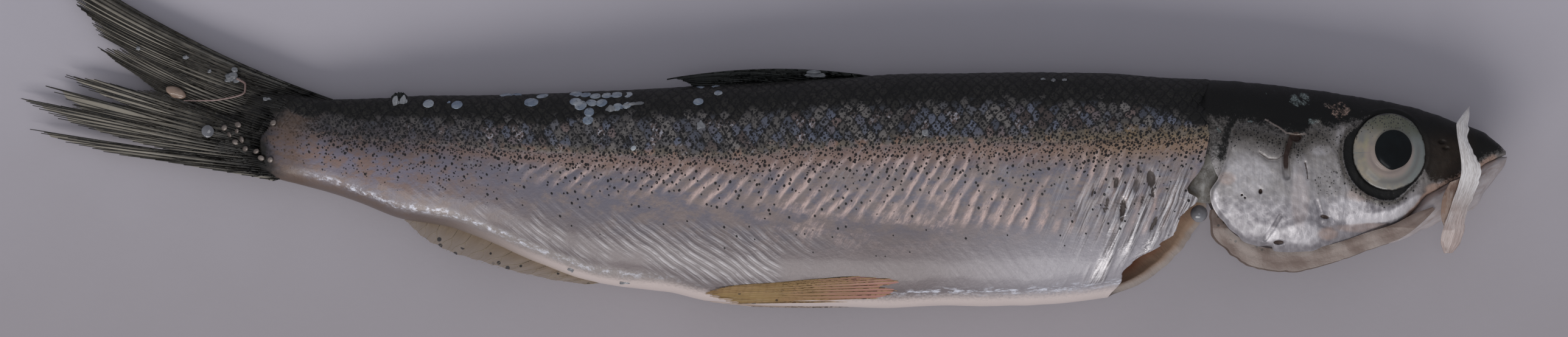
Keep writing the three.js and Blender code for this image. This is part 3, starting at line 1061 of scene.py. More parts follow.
@dataclass(frozen=True)
class HeadSkin:
    """The naked skin of the head and the gill covers, black-brown above and silver below.

    It reads three marks: grain is (hundredths along, hundredths across, shining patches), tone is (dark,
    silver, speckles) and flush is (pink, brown, wound).
    """

    dark: Colour = srgb(17, 17, 16)
    brown: Colour = srgb(50, 40, 32)
    nape: Colour = srgb(26, 25, 23)
    shadow: Colour = srgb(62, 57, 50)
    grey: Colour = srgb(132, 127, 124)
    blue: Colour = srgb(134, 130, 134)
    silver: Colour = srgb(204, 200, 202)
    pink: Colour = srgb(176, 150, 136)
    shine: Colour = srgb(136, 148, 146)
    ink: Colour = srgb(15, 14, 14)
    wound: Colour = srgb(58, 45, 40)

    def build(self) -> Material:
        """Makes the material."""
        shader = Shader("head_skin")
        mark = shader.mark("grain")
        x, y, patch = shader.split(mark)
        grain = shader.turned(mark, (1, 1, 0))
        dark, silver, speckle = shader.split(shader.mark("tone"))
        pink, brown, wound = shader.split(shader.mark("flush"))
        fine = shader.noise(grain, 3.2, 5, 0.65)
        strokes = shader.noise(shader.turned(grain, (7.0, 1.6, 0), -10), 1.0, 4, 0.7)
        brushed = shader.noise(shader.turned(grain, (3.2, 0.5, 0), -6), 1.0, 4, 0.6)
        swirl = shader.noise(shader.turned(grain, (0.9, 2.4, 0), 38), 1.0, 4, 0.6)
        glitter = shader.noise(grain, 8.0, 3, 0.7)

        ground = shader.mix((y + (swirl - 0.5) * 2).fall(-5.2, -3.2), self.grey, self.blue)
        crinkle = shader.cells(shader.turned(grain, (1.3, 1.0, 0), 30), 1.5)[0]
        bright = (
            silver + (strokes - 0.5) * 0.45 * y.fall(-6.5, -2.5) + (brushed - 0.5) * 0.35
            + (swirl - 0.5) * 0.6
        )
        bright = bright + (crinkle - 0.45) * 0.4 * y.fall(-5.0, -3.0)
        colour = shader.mix((bright - 0.1).rise(0.05, 0.95), ground, self.silver)
        colour = shader.mix(
            (bright * -1 + 0.5 + (fine - 0.5) * 0.5).rise(0.2, 0.9) * 0.6, colour, self.shadow,
        )
        colour = shader.mix(pink * (0.5 + fine), colour, self.pink)
        colour = shader.mix((speckle * 1.7 - 0.25 + (fine - 0.5) * 1.1).clamp() * 0.85, colour, self.shadow)
        deep = shader.mix(brown * (0.4 + fine), self.dark, self.brown)
        deep = shader.mix(
            glitter.rise(0.45, 0.62) * (fine.rise(0.35, 0.6) * x.fall(78.0, 84.0)), deep, self.nape,
        )
        border = (dark + (fine - 0.5) * 0.9 + (glitter - 0.5) * 0.7 + (swirl - 0.5) * 0.6).rise(0.25, 0.8)
        colour = shader.mix(border, colour, deep)
        lace = shader.noise(grain, 6.5, 3, 0.6).peak(0.5, 0.075).math(
            "MAXIMUM", glitter.rise(0.5, 0.62) * 0.8,
        )
        sheen = shader.mix(x.rise(84.0, 86.0), self.shine, self.pink)
        broken = (
            (patch * 0.9 + (swirl - 0.5) * 2.4 + (fine - 0.5) * 1.8).rise(0.45, 0.9) * patch.rise(0.0, 0.6)
        )
        colour = shader.mix(broken * (0.05 + lace), colour, sheen)
        spots = shader.specks(grain, 3.4, 0.3, speckle * 0.75).math(
            "MAXIMUM", shader.specks(grain, 5.6, 0.32, speckle * 0.7) * 0.85,
        )
        colour = shader.mix(spots * (1 - border) * 0.9, colour, self.ink)
        colour = shader.mix((wound + (fine - 0.5) * 0.5 * wound).rise(0.25, 0.65), colour, self.wound)
        relief = (
            brushed * 0.2 + fine * 0.35 + strokes * 0.3 * (1 - dark) + swirl * 0.3
            + crinkle * 0.5 * (1 - dark)
        )
        return shader.finish(
            Base_Color=colour,
            Metallic=((1 - border) * 0.3 * (1 - wound) * (1 - pink * 0.8)).clamp(),
            Roughness=(0.28 + fine * 0.22 + brushed * 0.06 + border * 0.1 + pink * 0.22).clamp(),
            Normal=shader.bump(relief, 0.00015, 0.85),
            Specular_IOR_Level=0.2,
            Coat_Weight=(0.35 - border * 0.33 - wound * 0.3 - pink * 0.35).clamp(),
            Coat_Roughness=0.14,
        )


@dataclass(frozen=True)
class ThroatFlesh:
    """The inner face of the belly wall: red-brown deep inside, beige towards the tear, with a white wet edge.

    It reads one mark: zone is (rise from the belly, hundredths above its edge, hundredths in from the tear).
    """

    deep: Colour = srgb(158, 100, 72)
    beige: Colour = srgb(172, 144, 122)
    rim: Colour = srgb(176, 168, 163)
    ink: Colour = srgb(30, 24, 22)

    def build(self) -> Material:
        """Makes the material."""
        shader = Shader("throat_flesh")
        place = shader.place()
        _, _, inward = shader.split(shader.mark("zone"))
        soft = shader.noise(place, 300, 4, 0.6)
        grain = shader.noise(shader.turned(place, (300, 1400, 700), 50), 1.0, 4, 0.65)
        colour = shader.mix((inward + (soft - 0.5) * 2.4).rise(0.9, 4.2), self.beige, self.deep)
        colour = shader.mix((inward + (soft - 0.5) * 0.5).fall(0.05, 0.7) * 0.75, colour, self.rim)
        colour = shader.mix(shader.specks(place, 900, 0.2, inward * 0.01 + 0.03), colour, self.ink)
        return shader.finish(
            Base_Color=colour,
            Roughness=0.24 + soft * 0.2,
            Normal=shader.bump(soft * 0.7 + grain * 0.4, 0.0002, 0.8),
            Specular_IOR_Level=0.5,
            Coat_Weight=0.5,
            Coat_Roughness=0.1,
        )


@dataclass(frozen=True)
class WetTissue:
    """Wet flesh or thin skin: a mottled colour with veins or streaks and a gloss."""

    name: str
    pale: Colour
    deep: Colour
    vein: Colour
    stretch: tuple[float, float, float] = (300.0, 900.0, 900.0)
    turn: float = 0.0
    vein_amount: float = 0.3
    roughness: float = 0.3
    alpha: float = 1.0
    coat: float = 0.5
    depth: float = 0.00015

    def build(self) -> Material:
        """Makes the material."""
        shader = Shader(self.name)
        place = shader.place()
        soft = shader.noise(place, 260, 4, 0.6)
        streak = shader.noise(shader.turned(place, self.stretch, self.turn), 1.0, 4, 0.65)
        colour = shader.mix((soft * 0.6 + streak * 0.6 - 0.1).rise(0.3, 0.7), self.deep, self.pale)
        colour = shader.mix(streak.peak(0.5, 0.07) * self.vein_amount, colour, self.vein)
        return shader.finish(
            Base_Color=colour,
            Roughness=(self.roughness + (soft - 0.5) * 0.2).clamp(),
            Alpha=self.alpha,
            Normal=shader.bump(soft * 0.6 + streak, self.depth, 0.7),
            Coat_Weight=self.coat,
            Coat_Roughness=0.12,
        )


@dataclass(frozen=True)
class FinRay:
    """A bony fin ray with cross joints along it."""

    name: str
    bone: Colour
    joint: Colour
    centre: tuple[float, float, float]
    root: Colour = srgb(12, 12, 10)

    def build(self) -> Material:
        """Makes the material."""
        shader = Shader(self.name)
        place = shader.place()
        x, y, _ = shader.split(shader.turned(place, (1.0, 1.0, 0.0), 0, self.centre))
        away = (x * x + y * y).math("SQRT")
        band = (away * 7500 + shader.noise(place, 900, 2) * 4).math("SINE").rise(0.3, 0.9)
        soft = shader.noise(place, 300, 4, 0.6)
        colour = shader.mix(band * 0.25 + soft.rise(0.35, 0.75) * 0.7, self.bone, self.joint)
        colour = shader.mix(away.fall(0.003, 0.014) * 0.85, colour, self.root)
        return shader.finish(
            Base_Color=colour,
            Roughness=0.3 + soft * 0.2,
            Normal=shader.bump(soft + band * 0.5, 0.00004, 0.6),
            Specular_IOR_Level=0.3,
            Coat_Weight=0.1,
            Coat_Roughness=0.2,
        )


@dataclass(frozen=True)
class FinWeb:
    """The thin skin between fin rays: it lets some light through and is darker towards its root.

    It reads one mark: span is (0 at the root to 1 at the edge, place across the rays, nothing).
    """

    name: str
    root: Colour
    edge: Colour
    fleck: Colour
    root_alpha: float = 1.0
    edge_alpha: float = 0.7
    lead: float = 0.0
    dots: float = 0.0

    def build(self) -> Material:
        """Makes the material."""
        shader = Shader(self.name)
        span = shader.mark("span")
        out, across, _ = shader.split(span)
        place = shader.place()
        soft = shader.noise(place, 420, 4, 0.6)
        lines = shader.noise(shader.turned(span, (2.0, 60.0, 1.0)), 1.0, 3, 0.6)
        colour = shader.mix((out + (soft - 0.5) * 0.5).rise(0.05, 0.8), self.root, self.edge)
        colour = shader.mix(
            lines.rise(0.5, 0.72) * 0.6 + shader.noise(place, 2400, 2).rise(0.62, 0.75) * 0.2, colour,
            self.fleck,
        )
        if self.lead:
            colour = shader.mix((across + (soft - 0.5) * 0.1).fall(0.0, self.lead), colour, self.root)
        if self.dots:
            colour = shader.mix(
                shader.specks(place, 1100, 0.3, out.rise(0.3, 0.8) * self.dots), colour, srgb(30, 26, 22),
            )
        return shader.finish(
            Base_Color=colour, Roughness=0.36 + soft * 0.2, Specular_IOR_Level=0.35,
            Alpha=(
                self.root_alpha
                + (out + (soft - 0.5) * 0.3).rise(0.1, 0.95) * (self.edge_alpha - self.root_alpha)
            ).clamp(),
            Normal=shader.bump(soft * 0.5 + lines, 0.00006, 0.7), Coat_Weight=0.12, Coat_Roughness=0.2,
        )


@dataclass(frozen=True)
class Iris:
    """The eye's ring, cream with a green-grey top, a pinkish inner band and a dark rim.

    It reads one mark: disc is (distance from the pupil's middle, 1 at the rim, height from -1 to 1, angle).
    """

    cream: Colour = srgb(152, 141, 121)
    yellow_highlight: Colour = srgb(164, 157, 116)
    silver: Colour = srgb(122, 120, 114)
    green: Colour = srgb(74, 77, 58)
    teal: Colour = srgb(112, 119, 117)
    pink: Colour = srgb(152, 136, 128)
    rim: Colour = srgb(26, 24, 22)
    shade: Colour = srgb(98, 95, 92)

    def build(self) -> Material:
        """Makes the material."""
        shader = Shader("iris")
        out, up, angle = shader.split(shader.mark("disc"))
        right = out * angle.math("COSINE")
        place = shader.place()
        soft = shader.noise(place, 420, 4, 0.6)
        blotch = shader.noise(place, 900, 3, 0.65)
        colour = shader.mix((soft + (blotch - 0.5) * 0.3).rise(0.35, 0.7), self.silver, self.cream)
        colour = shader.mix((right + (soft - 0.5) * 0.6).rise(0.15, 0.7) * 0.85, colour, self.teal)
        # A painted highlight: a vertical yellow streak on the iris's rear side.
        colour = shader.mix(
            (right + (blotch - 0.5) * 0.15).peak(-0.62, 0.12) * up.peak(0.1, 0.5) * 0.7, colour, self.yellow_highlight,
        )
        colour = shader.mix(
            (out + (soft - 0.5) * 0.1).fall(0.6, 0.74) * up.fall(-0.1, 0.5) * 0.8, colour, self.pink,
        )
        arc = (out + (soft - 0.5) * 0.08).peak(0.79, 0.1) * (right * 0.5 - up).rise(-0.1, 0.45)
        colour = shader.mix(arc * 0.6, colour, self.shade)
        mossy = (up + (soft - 0.5) * 0.5 + right * 0.15).rise(0.3, 0.72)
        colour = shader.mix(mossy * (0.45 + blotch * 0.8), colour, self.green)
        colour = shader.mix(
            shader.specks(place, 3600, 0.32, (up + out * 0.6).rise(0.6, 1.5) * 0.6), colour, self.rim,
        )
        colour = shader.mix((out + (blotch - 0.5) * 0.14).rise(0.95, 1.0), colour, self.rim)
        return shader.finish(
            Base_Color=colour,
            Roughness=0.3 + soft * 0.2,
            Normal=shader.bump(soft + blotch * 0.5, 0.00008, 0.5),
            Coat_Weight=0.5,
            Coat_Roughness=0.08,
        )


@dataclass(frozen=True)
class Membrane:
    """The thin wet skin under a gill cover: red-brown at its root, paler and clearer at its free edge.

    It reads one mark: span is (0 at its root to 1 at its free edge, place along it, nothing).
    """

    root: Colour = srgb(92, 74, 64)
    middle: Colour = srgb(122, 104, 95)
    rim: Colour = srgb(128, 112, 104)
    ink: Colour = srgb(40, 34, 30)

    def build(self) -> Material:
        """Makes the material."""
        shader = Shader("gill_membrane")
        out, run, _ = shader.split(shader.mark("span"))
        place = shader.place()
        soft = shader.noise(place, 520, 4, 0.6)
        colour = shader.mix((out + (soft - 0.5) * 0.35).rise(0.0, 0.5), self.root, self.middle)
        colour = shader.mix((out + (soft - 0.5) * 0.4).peak(0.62, 0.2) * 0.35, colour, self.root)
        colour = shader.mix((out + (soft - 0.5) * 0.2).rise(0.78, 1.0) * 0.8, colour, self.rim)
        dots = shader.specks(place, 1500, 0.35, run.fall(0.12, 0.34) * 0.3 * out.fall(0.3, 0.8))
        colour = shader.mix(dots * 0.8, colour, self.ink)
        return shader.finish(
            Base_Color=colour,
            Roughness=0.3 + soft * 0.15,
            Alpha=(0.98 - out.rise(0.6, 1.0) * 0.12).clamp(),
            Normal=shader.bump(soft, 0.00015, 0.6),
            Coat_Weight=0.12,
            Coat_Roughness=0.15,
        )


@dataclass(frozen=True)
class JawBone:
    """A thin wet jaw bone: white and fibrous at its upper end, beige and clearer at its foot.

    It reads one mark: span is (place across it, 0 at its upper end to 1 at its foot, nothing).
    """

    white: Colour = srgb(222, 219, 218)
    beige: Colour = srgb(190, 170, 163)
    vein: Colour = srgb(112, 94, 84)

    def build(self) -> Material:
        """Makes the material."""
        shader = Shader("jaw_bone")
        span = shader.mark("span")
        _, run, _ = shader.split(span)
        soft = shader.noise(shader.place(), 420, 4, 0.6)
        fibre = shader.noise(shader.turned(span, (9.0, 3.0, 1.0)), 1.0, 4, 0.65)
        clear = (run + (soft - 0.5) * 0.6).rise(0.42, 0.95)
        colour = shader.mix(clear, self.white, self.beige)
        colour = shader.mix(fibre.peak(0.5, 0.06) * 0.5 + fibre.fall(0.3, 0.45) * 0.5, colour, self.vein)
        colour = shader.mix(soft.rise(0.5, 0.62) * run.peak(0.5, 0.2) * 0.6, colour, self.white)
        return shader.finish(
            Base_Color=colour,
            Roughness=0.25 + soft * 0.2,
            Alpha=(1 - clear * 0.32).clamp(),
            Normal=shader.bump(fibre + soft * 0.4, 0.0002, 0.9),
            Coat_Weight=0.5,
            Coat_Roughness=0.1,
        )


@dataclass(frozen=True)
class Gloss:
    """A smooth wet surface of nearly one colour, such as the pupil or a drop of slime."""

    name: str
    colour: Colour
    tint: Colour
    roughness: float = 0.12
    alpha: float = 1.0
    coat: float = 0.6
    gleam: float = 0.5

    def build(self) -> Material:
        """Makes the material."""
        shader = Shader(self.name)
        place = shader.place()
        soft = shader.noise(place, 350, 3, 0.6)
        return shader.finish(
            Base_Color=shader.mix(soft.rise(0.35, 0.7), self.colour, self.tint),
            Roughness=(self.roughness + (soft - 0.5) * 0.08).clamp(),
            Alpha=self.alpha,
            Normal=shader.bump(soft, 0.00004, 0.4),
            Specular_IOR_Level=self.gleam,
            Coat_Weight=self.coat,
            Coat_Roughness=0.06,
        )


@dataclass(frozen=True)
class ScaleFoil:
    """A loose scale: a thin blue-silver leaf with darker flecks."""

    name: str = "loose_scale"
    blue: Colour = srgb(128, 142, 160)
    silver: Colour = srgb(182, 188, 192)
    shade: Colour = srgb(62, 70, 80)

    def build(self) -> Material:
        """Makes the material."""
        shader = Shader(self.name)
        place = shader.place()
        soft = shader.noise(place, 420, 4, 0.7)
        glint = shader.noise(place, 1500, 3, 0.7)
        colour = shader.mix(soft.rise(0.4, 0.65), self.blue, self.silver)
        colour = shader.mix(glint.rise(0.5, 0.7) * 0.6, colour, self.shade)
        return shader.finish(
            Base_Color=colour,
            Metallic=0.35,
            Roughness=0.25 + glint * 0.3,
            Alpha=0.9,
            Normal=shader.bump(soft + glint, 0.00008, 0.7),
            Coat_Weight=0.3,
            Coat_Roughness=0.15,
        )


@dataclass(frozen=True)
class TableTop:
    """The plain pale surface that the fish lies on, painted lighter towards +y and darker towards -y as
    painted light.
    """

    # Painted light: far is the lighter colour towards +y, near the darker one towards -y.
    far: Colour = srgb(184, 180, 188)
    near: Colour = srgb(163, 157, 161)

    def build(self) -> Material:
        """Makes the material."""
        shader = Shader("table_top")
        place = shader.place()
        _, y, _ = shader.split(place)
        soft = shader.noise(place, 90, 5, 0.6)
        return shader.finish(
            Base_Color=shader.mix((y + (soft - 0.5) * 0.015).rise(-0.035, 0.035), self.near, self.far),
            Roughness=0.6,
            Normal=shader.bump(shader.noise(place, 1200, 3), 0.00003, 0.4),
        )


# ---------------------------------------------------------------- Geometry Nodes


class NodeGroup(NodeTree):
    """A Geometry Nodes tree with named sizes, run once on a host object and turned into a plain mesh."""

    def __init__(self, name: str) -> None:
        """Starts a tree that passes geometry through.

        Args:
            name: The tree's name.
        """
        super().__init__(bpy.data.node_groups.new(name, "GeometryNodeTree"))
        self.tree.is_modifier = True
        self.tree.interface.new_socket("Geometry", in_out="INPUT", socket_type="NodeSocketGeometry")
        self.tree.interface.new_socket("Geometry", in_out="OUTPUT", socket_type="NodeSocketGeometry")
        self.source = self.tree.nodes.new("NodeGroupInput")
        self.sink = self.tree.nodes.new("NodeGroupOutput")

    def size(self, name: str, kind: str = "NodeSocketFloat") -> Socket:
        """Adds a named input.

        Args:
            name: What it is.
            kind: Its socket type.

        Returns:
            The socket to link from.
        """
        self.tree.interface.new_socket(name, in_out="INPUT", socket_type=kind)
        return self.source.outputs[name]

    def mark(self, name: str, kind: str) -> Socket:
        """A named attribute of the geometry."""
        return self.node(
            "GeometryNodeInputNamedAttribute", {"data_type": kind}, {"Name": name},
        ).outputs["Attribute"]

    def close(self, geometry: Socket) -> None:
        """Ends the tree in Realize Instances, smooth faces and Set Material.

        Args:
            geometry: The finished shape.
        """
        real = self.node("GeometryNodeRealizeInstances", inputs={"Geometry": geometry}).outputs[0]
        smooth = self.node("GeometryNodeSetShadeSmooth", inputs={0: real}).outputs[0]
        dressed = self.node(
            "GeometryNodeSetMaterial",
            inputs={0: smooth, "Material": self.size("Material", "NodeSocketMaterial")},
        )
        self.tree.links.new(dressed.outputs[0], self.sink.inputs[0])

    def run(self, host: bpy.types.Object, sizes: dict[str, object], name: str) -> bpy.types.Object:
        """Runs the tree on a host, which is used up.

        Args:
            host: The object that holds the starting mesh.
            sizes: A value for each named input.
            name: The new piece's name.

        Returns:
            The piece, a plain mesh.
        """
        modifier = host.modifiers.new("build", "NODES")
        modifier.node_group = self.tree
        for item in self.tree.interface.items_tree:
            if item.item_type == "SOCKET" and item.in_out == "INPUT" and item.name in sizes:
                modifier[item.identifier] = sizes[item.name]
        bpy.context.view_layer.update()
        evaluated = host.evaluated_get(bpy.context.evaluated_depsgraph_get())
        mesh = bpy.data.meshes.new_from_object(evaluated)
        mesh.name = name
        bpy.data.objects.remove(host)
        return linked(name, mesh)


@dataclass
class RayBundle:
    """Tapered round strands that follow paths, such as fin rays and slime threads."""

    sides: int = 6

    def build(
        self, name: str, strands: list[tuple[Array, Array]], chart: Chart, material: Material,
    ) -> bpy.types.Object:
        """Makes one piece of all the strands.

        Args:
            name: The piece's name.
            strands: The path (rows of xyz) and the radius at each of its points, in hundredths.
            chart: Turns the paths into metres.
            material: The finish.

        Returns:
            The piece.
        """
        points = np.concatenate([path for path, _ in strands])
        radii = np.concatenate([radius for _, radius in strands])
        edges = []
        first = 0
        for path, _ in strands:
            edges += [(k, k + 1) for k in range(first, first + len(path) - 1)]
            first += len(path)
        mesh = bpy.data.meshes.new(name + "_paths")
        mesh.from_pydata(chart.metres(points), edges, [])
        layer = mesh.attributes.new("thickness", "FLOAT", "POINT")
        layer.data.foreach_set("value", (radii * chart.unit).astype(np.float32))
        group = NodeGroup("strands")
        thickness = group.mark("thickness", "FLOAT")
        sides = group.size("Sides", "NodeSocketInt")
        curve = group.node("GeometryNodeMeshToCurve", inputs={0: group.source.outputs["Geometry"]}).outputs[0]
        thick = group.node(
            "GeometryNodeSetCurveRadius", inputs={"Curve": curve, "Radius": thickness},
        ).outputs[0]
        ring = group.node(
            "GeometryNodeCurvePrimitiveCircle", inputs={"Resolution": sides, "Radius": 1.0},
        ).outputs[0]
        sweep = {"Curve": thick, "Profile Curve": ring, "Scale": thickness, "Fill Caps": True}
        group.close(group.node("GeometryNodeCurveToMesh", inputs=sweep).outputs[0])
        piece = group.run(linked(name + "_paths", mesh), {"Sides": self.sides, "Material": material}, name)
        tidy_mesh(piece.data, 60)
        return piece


@dataclass
class ScaleScatter:
    """Thin domed leaves lying on a surface, one at each point of a host."""

    rim: int = 14
    layers: int = 6

    def build(self, name: str, places: Array, turns: Array, sizes: Array, chart: Chart,
              material: Material) -> bpy.types.Object:
        """Makes one piece of all the leaves.

        Args:
            name: The piece's name.
            places: Rows of (x, y, z) in hundredths.
            turns: Euler angles that lay each leaf on its surface.
            sizes: (long, wide, high) radii in hundredths.
            chart: Turns the places into metres.
            material: The finish.

        Returns:
            The piece.
        """
        mesh = bpy.data.meshes.new(name + "_places")
        mesh.from_pydata(chart.metres(places), [], [])
        write_marks(mesh, {"turn": turns, "spread": sizes * chart.unit})
        group = NodeGroup("leaves")
        rim = group.size("Rim points", "NodeSocketInt")
        ball = group.node(
            "GeometryNodeMeshUVSphere", inputs={"Segments": rim, "Rings": self.layers, "Radius": 1.0},
        ).outputs[0]
        set_on = group.node("GeometryNodeInstanceOnPoints", inputs={
            "Points": group.source.outputs["Geometry"],
            "Instance": ball,
            "Rotation": group.mark("turn", "FLOAT_VECTOR"),
            "Scale": group.mark("spread", "FLOAT_VECTOR"),
        }).outputs[0]
        group.close(set_on)
        return group.run(linked(name + "_places", mesh), {"Rim points": self.rim, "Material": material}, name)


# ---------------------------------------------------------------- putting pieces in place


def install(piece: bpy.types.Object, slot: Slot, *nodes: str) -> None:
    """Fastens a piece to the frame and reports it.

    Args:
        piece: The finished piece.
        slot: The record's material slot; not used.
        nodes: The CAD nodes that it stands for.
    """
    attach(piece, "root")
    if nodes:
        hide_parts(*nodes)
    log.info("%s: %d faces, for %s", piece.name, len(piece.data.polygons), ", ".join(nodes) or "no node")


def make_finishes(tail_root: tuple[float, float, float]) -> Finishes:
    """Builds every material of the fish.

    Args:
        tail_root: Where the tail's rays start, in metres.

    Returns:
        The materials by their names.
    """
    kinds = (
        FlankSkin(), HeadSkin(), ThroatFlesh(), Membrane(), JawBone(), ScaleFoil(), Iris(),
        WetTissue("jaw_skin", srgb(188, 180, 180), srgb(146, 132, 128), srgb(188, 184, 188),
                  (160, 900, 700), -30, 0.3, 0.45, 0.92, 0.1),
        WetTissue("mouth_corner", srgb(158, 128, 108), srgb(104, 78, 62), srgb(178, 160, 148),
                  (900, 200, 700), 10, 0.4, 0.3, 0.72),
        WetTissue("throat_web", srgb(122, 118, 110), srgb(84, 78, 70), srgb(160, 158, 154),
                  (500, 500, 500), 0, 0.3, 0.2, 0.85),
        ScaleFoil("bead_scale", srgb(108, 98, 92), srgb(132, 122, 115), srgb(80, 70, 64)),
        Gloss("pupil", srgb(8, 11, 12), srgb(14, 20, 22), 0.2, 1.0, 0.1, 0.15),
        Gloss("slime_drop", srgb(96, 97, 102), srgb(140, 141, 147), 0.08, 0.8),
        Gloss("slime_smear", srgb(150, 152, 156), srgb(104, 106, 110), 0.25, 0.75, 0.4),
        Gloss("pellet", srgb(158, 136, 120), srgb(116, 94, 80), 0.3, 0.85),
        Gloss("slime_thread", srgb(128, 104, 98), srgb(98, 78, 72), 0.35),
        FinRay("tail_ray", srgb(34, 32, 28), srgb(62, 57, 48), tail_root),
        FinWeb("tail_web", srgb(14, 13, 11), srgb(150, 143, 130), srgb(70, 64, 53), 1.0, 0.8, 0.14),
        FinRay("dorsal_ray", srgb(24, 26, 24), srgb(44, 47, 43), tail_root),
        FinWeb("dorsal_web", srgb(32, 34, 32), srgb(48, 51, 48), srgb(72, 76, 74), 1.0, 0.97),
        FinRay("anal_ray", srgb(150, 136, 116), srgb(132, 117, 98), tail_root),
        FinWeb("anal_web", srgb(124, 106, 86), srgb(146, 132, 120), srgb(140, 124, 104), 0.97, 0.62, 0, 0.35),
        FinRay("pelvic_ray", srgb(162, 132, 90), srgb(128, 100, 64), tail_root),
        FinWeb("pelvic_web", srgb(172, 124, 115), srgb(146, 122, 78), srgb(112, 88, 54), 0.94, 0.94, 0, 0.25),
        FinRay("under_ray", srgb(176, 160, 150), srgb(166, 150, 140), tail_root),
        FinWeb("under_web", srgb(178, 158, 150), srgb(170, 154, 144), srgb(160, 144, 134), 0.95, 0.85),
    )
    return {made.name: made for made in (kind.build() for kind in kinds)}


# ---------------------------------------------------------------- trunk


@dataclass
class Trunk:
    """The scaled body from the tail's root to the nape, hollow at its torn throat.

    The skin is a shell that ends in the tear, and its inner face goes back to cavity_start.
    """

    chart: Chart
    tail_end: float = -2.4
    front_end: float = 80.0
    settled: float = 58.0
    cavity_start: float = 60.0
    wall: float = 0.62
    thin_wall: float = 0.28
    wound_depth: float = 0.16
    stations: int = 400
    right_rows: int = 136
    left_rows: int = 66
    inner_stations: int = 44
    ridge_pitch: float = 1.24
    ridge_height: float = 0.055
    scale_height: float = 0.03
    fibre_height: float = 0.2
    tear: Curve = Curve((
        (-13.5, 67.4), (-12.1, 67.9), (-10.9, 68.8), (-10.2, 68.9), (-9.5, 69.6), (-8.9, 70.0), (-8.6, 70.9),
        (-8.1, 71.9), (-7.5, 72.5), (-6.9, 73.0), (-6.0, 73.3), (-5.3, 73.6), (-4.95, 74.4), (-4.6, 75.2),
        (-4.2, 74.9), (-3.8, 74.1), (-3.4, 74.05), (-2.7, 74.6), (-1.7, 75.3), (-0.9, 75.5), (0.5, 75.8),
        (2.2, 76.2), (3.4, 76.6), (4.6, 78.5), (6.0, 79.5),
    ))
    far_edge: Curve = Curve((
        (-13.5, 67.4), (-12.1, 68.0), (-11.6, 69.4), (-11.4, 70.2), (-10.7, 71.1), (-10.3, 72.1),
        (-9.5, 72.7), (-8.6, 73.7), (-7.9, 74.1), (-7.1, 74.9), (-6.4, 75.3), (-5.3, 75.7), (-3.6, 76.0),
        (0.0, 76.4), (2.2, 76.6), (4.6, 78.5), (6.0, 79.5),
    ))
    apex: Curve = Curve(((0.0, -0.8), (13.0, -2.2), (27.0, -4.6), (45.0, -6.4), (60.0, -7.4), (74.0, -8.2)))
    wounds: tuple[tuple[float, float, float, float, float, float], ...] = (
        (71.2, -2.6, 0.42, 0.8, 0.0, 1.0), (71.25, -3.8, 0.13, 0.6, 0.0, 1.0),
        (68.4, -2.95, 0.28, 0.55, 0.15, 0.8), (68.9, -5.15, 0.27, 1.1, 0.12, 1.0),
        (67.6, -4.7, 0.2, 0.8, 0.25, 0.7), (66.5, -3.7, 0.12, 0.45, 0.3, 0.8),
        (71.4, -6.25, 0.2, 0.75, 0.45, 0.8), (70.2, -1.75, 0.15, 0.5, 0.0, 0.7),
        (70.0, -3.2, 0.36, 0.8, 0.1, 0.5), (70.5, -4.3, 0.12, 0.55, 0.3, 0.7),
        (64.8, -5.3, 0.1, 0.8, 0.4, 0.6), (72.6, -3.4, 0.1, 0.5, 0.35, 0.5),
    )

    def angles(self) -> Array:
        """The places round a ring, closer together on the right flank."""
        right = np.linspace(0, math.pi, self.right_rows, endpoint=False)
        left = np.linspace(math.pi, 2 * math.pi, self.left_rows, endpoint=False)
        return np.concatenate([right, left])

    def ends(self, angle: Array) -> Array:
        """How far along the fish the skin reaches on each lengthwise line.

        Args:
            angle: The places round a ring.

        Returns:
            One x for each place.
        """
        x = np.full_like(angle, 74.0)
        for _ in range(40):
            y = TRUNK_FORM.ring(x, angle)[..., 1]
            x = (x + np.where(np.sin(angle) >= 0, self.tear(y), self.far_edge(y))) / 2
        for _ in range(3):
            x = (np.roll(x, 1) + 2 * x + np.roll(x, -1)) / 4
        torn = peak(y, -7.5, 4.5)
        ragged = Grain(3)(y * 2.2, np.sin(angle) * 2) * 0.28 + Grain(4)(y * 6.0, np.sin(angle)) * 0.12
        return x + torn * ragged

    def relief(self, x: Array, y: Array) -> dict[str, Array]:
        """The skin's own relief at a place.

        Args:
            x: Places along the fish.
            y: Places across it.

        Returns:
            Muscle ridges, torn fibres and wounds, from 0 to 1, and the number of ridges passed.
        """
        line = LATERAL_LINE(x)
        bend = y - self.apex(x)
        steep = 1.2 - 0.3 * rise(x, 22, 44) - 0.4 * rise(x, 44, 61) - 0.16 * rise(x, 61, 70)
        lower = 1.6 - 0.6 * rise(x, 46, 62)
        bent = 0.5 + 0.5 * np.tanh(bend * 1.5)
        wander = Grain(11)(x * 0.35, y * 0.5) * 0.2 + Grain(12)(x * 0.9, y * 1.2) * 0.08
        passed = (
            x - np.sqrt(bend**2 + 0.4) * (bent * steep + (1 - bent) * lower)
        ) / self.ridge_pitch + wander
        below = rise(line - y, 0.3, 1.4)
        strong = np.clip(
            0.42 + Grain(13)(x * 0.28, y * 0.4) * 0.95 + Grain(14)(x * 1.1, y * 0.7) * 0.5, 0.0, 1,
        )
        upper_arm = rise(bend, 0.3, 1.8) * rise(x, 13, 30)
        lower_arm = (
            (1 - rise(bend, -1.6, 0.0)) * (1 - 0.8 * rise(x, 39, 46)) * (1 - rise(x, 60, 66)) * 0.75
            * rise(x, 4, 14)
        )
        clear_of_edge = rise(y - WHOLE_BELLY(x), 0.9, 1.8)
        ridge = below * (upper_arm - lower_arm) * strong * clear_of_edge * (1 - 0.5 * rise(x, 66, 70))

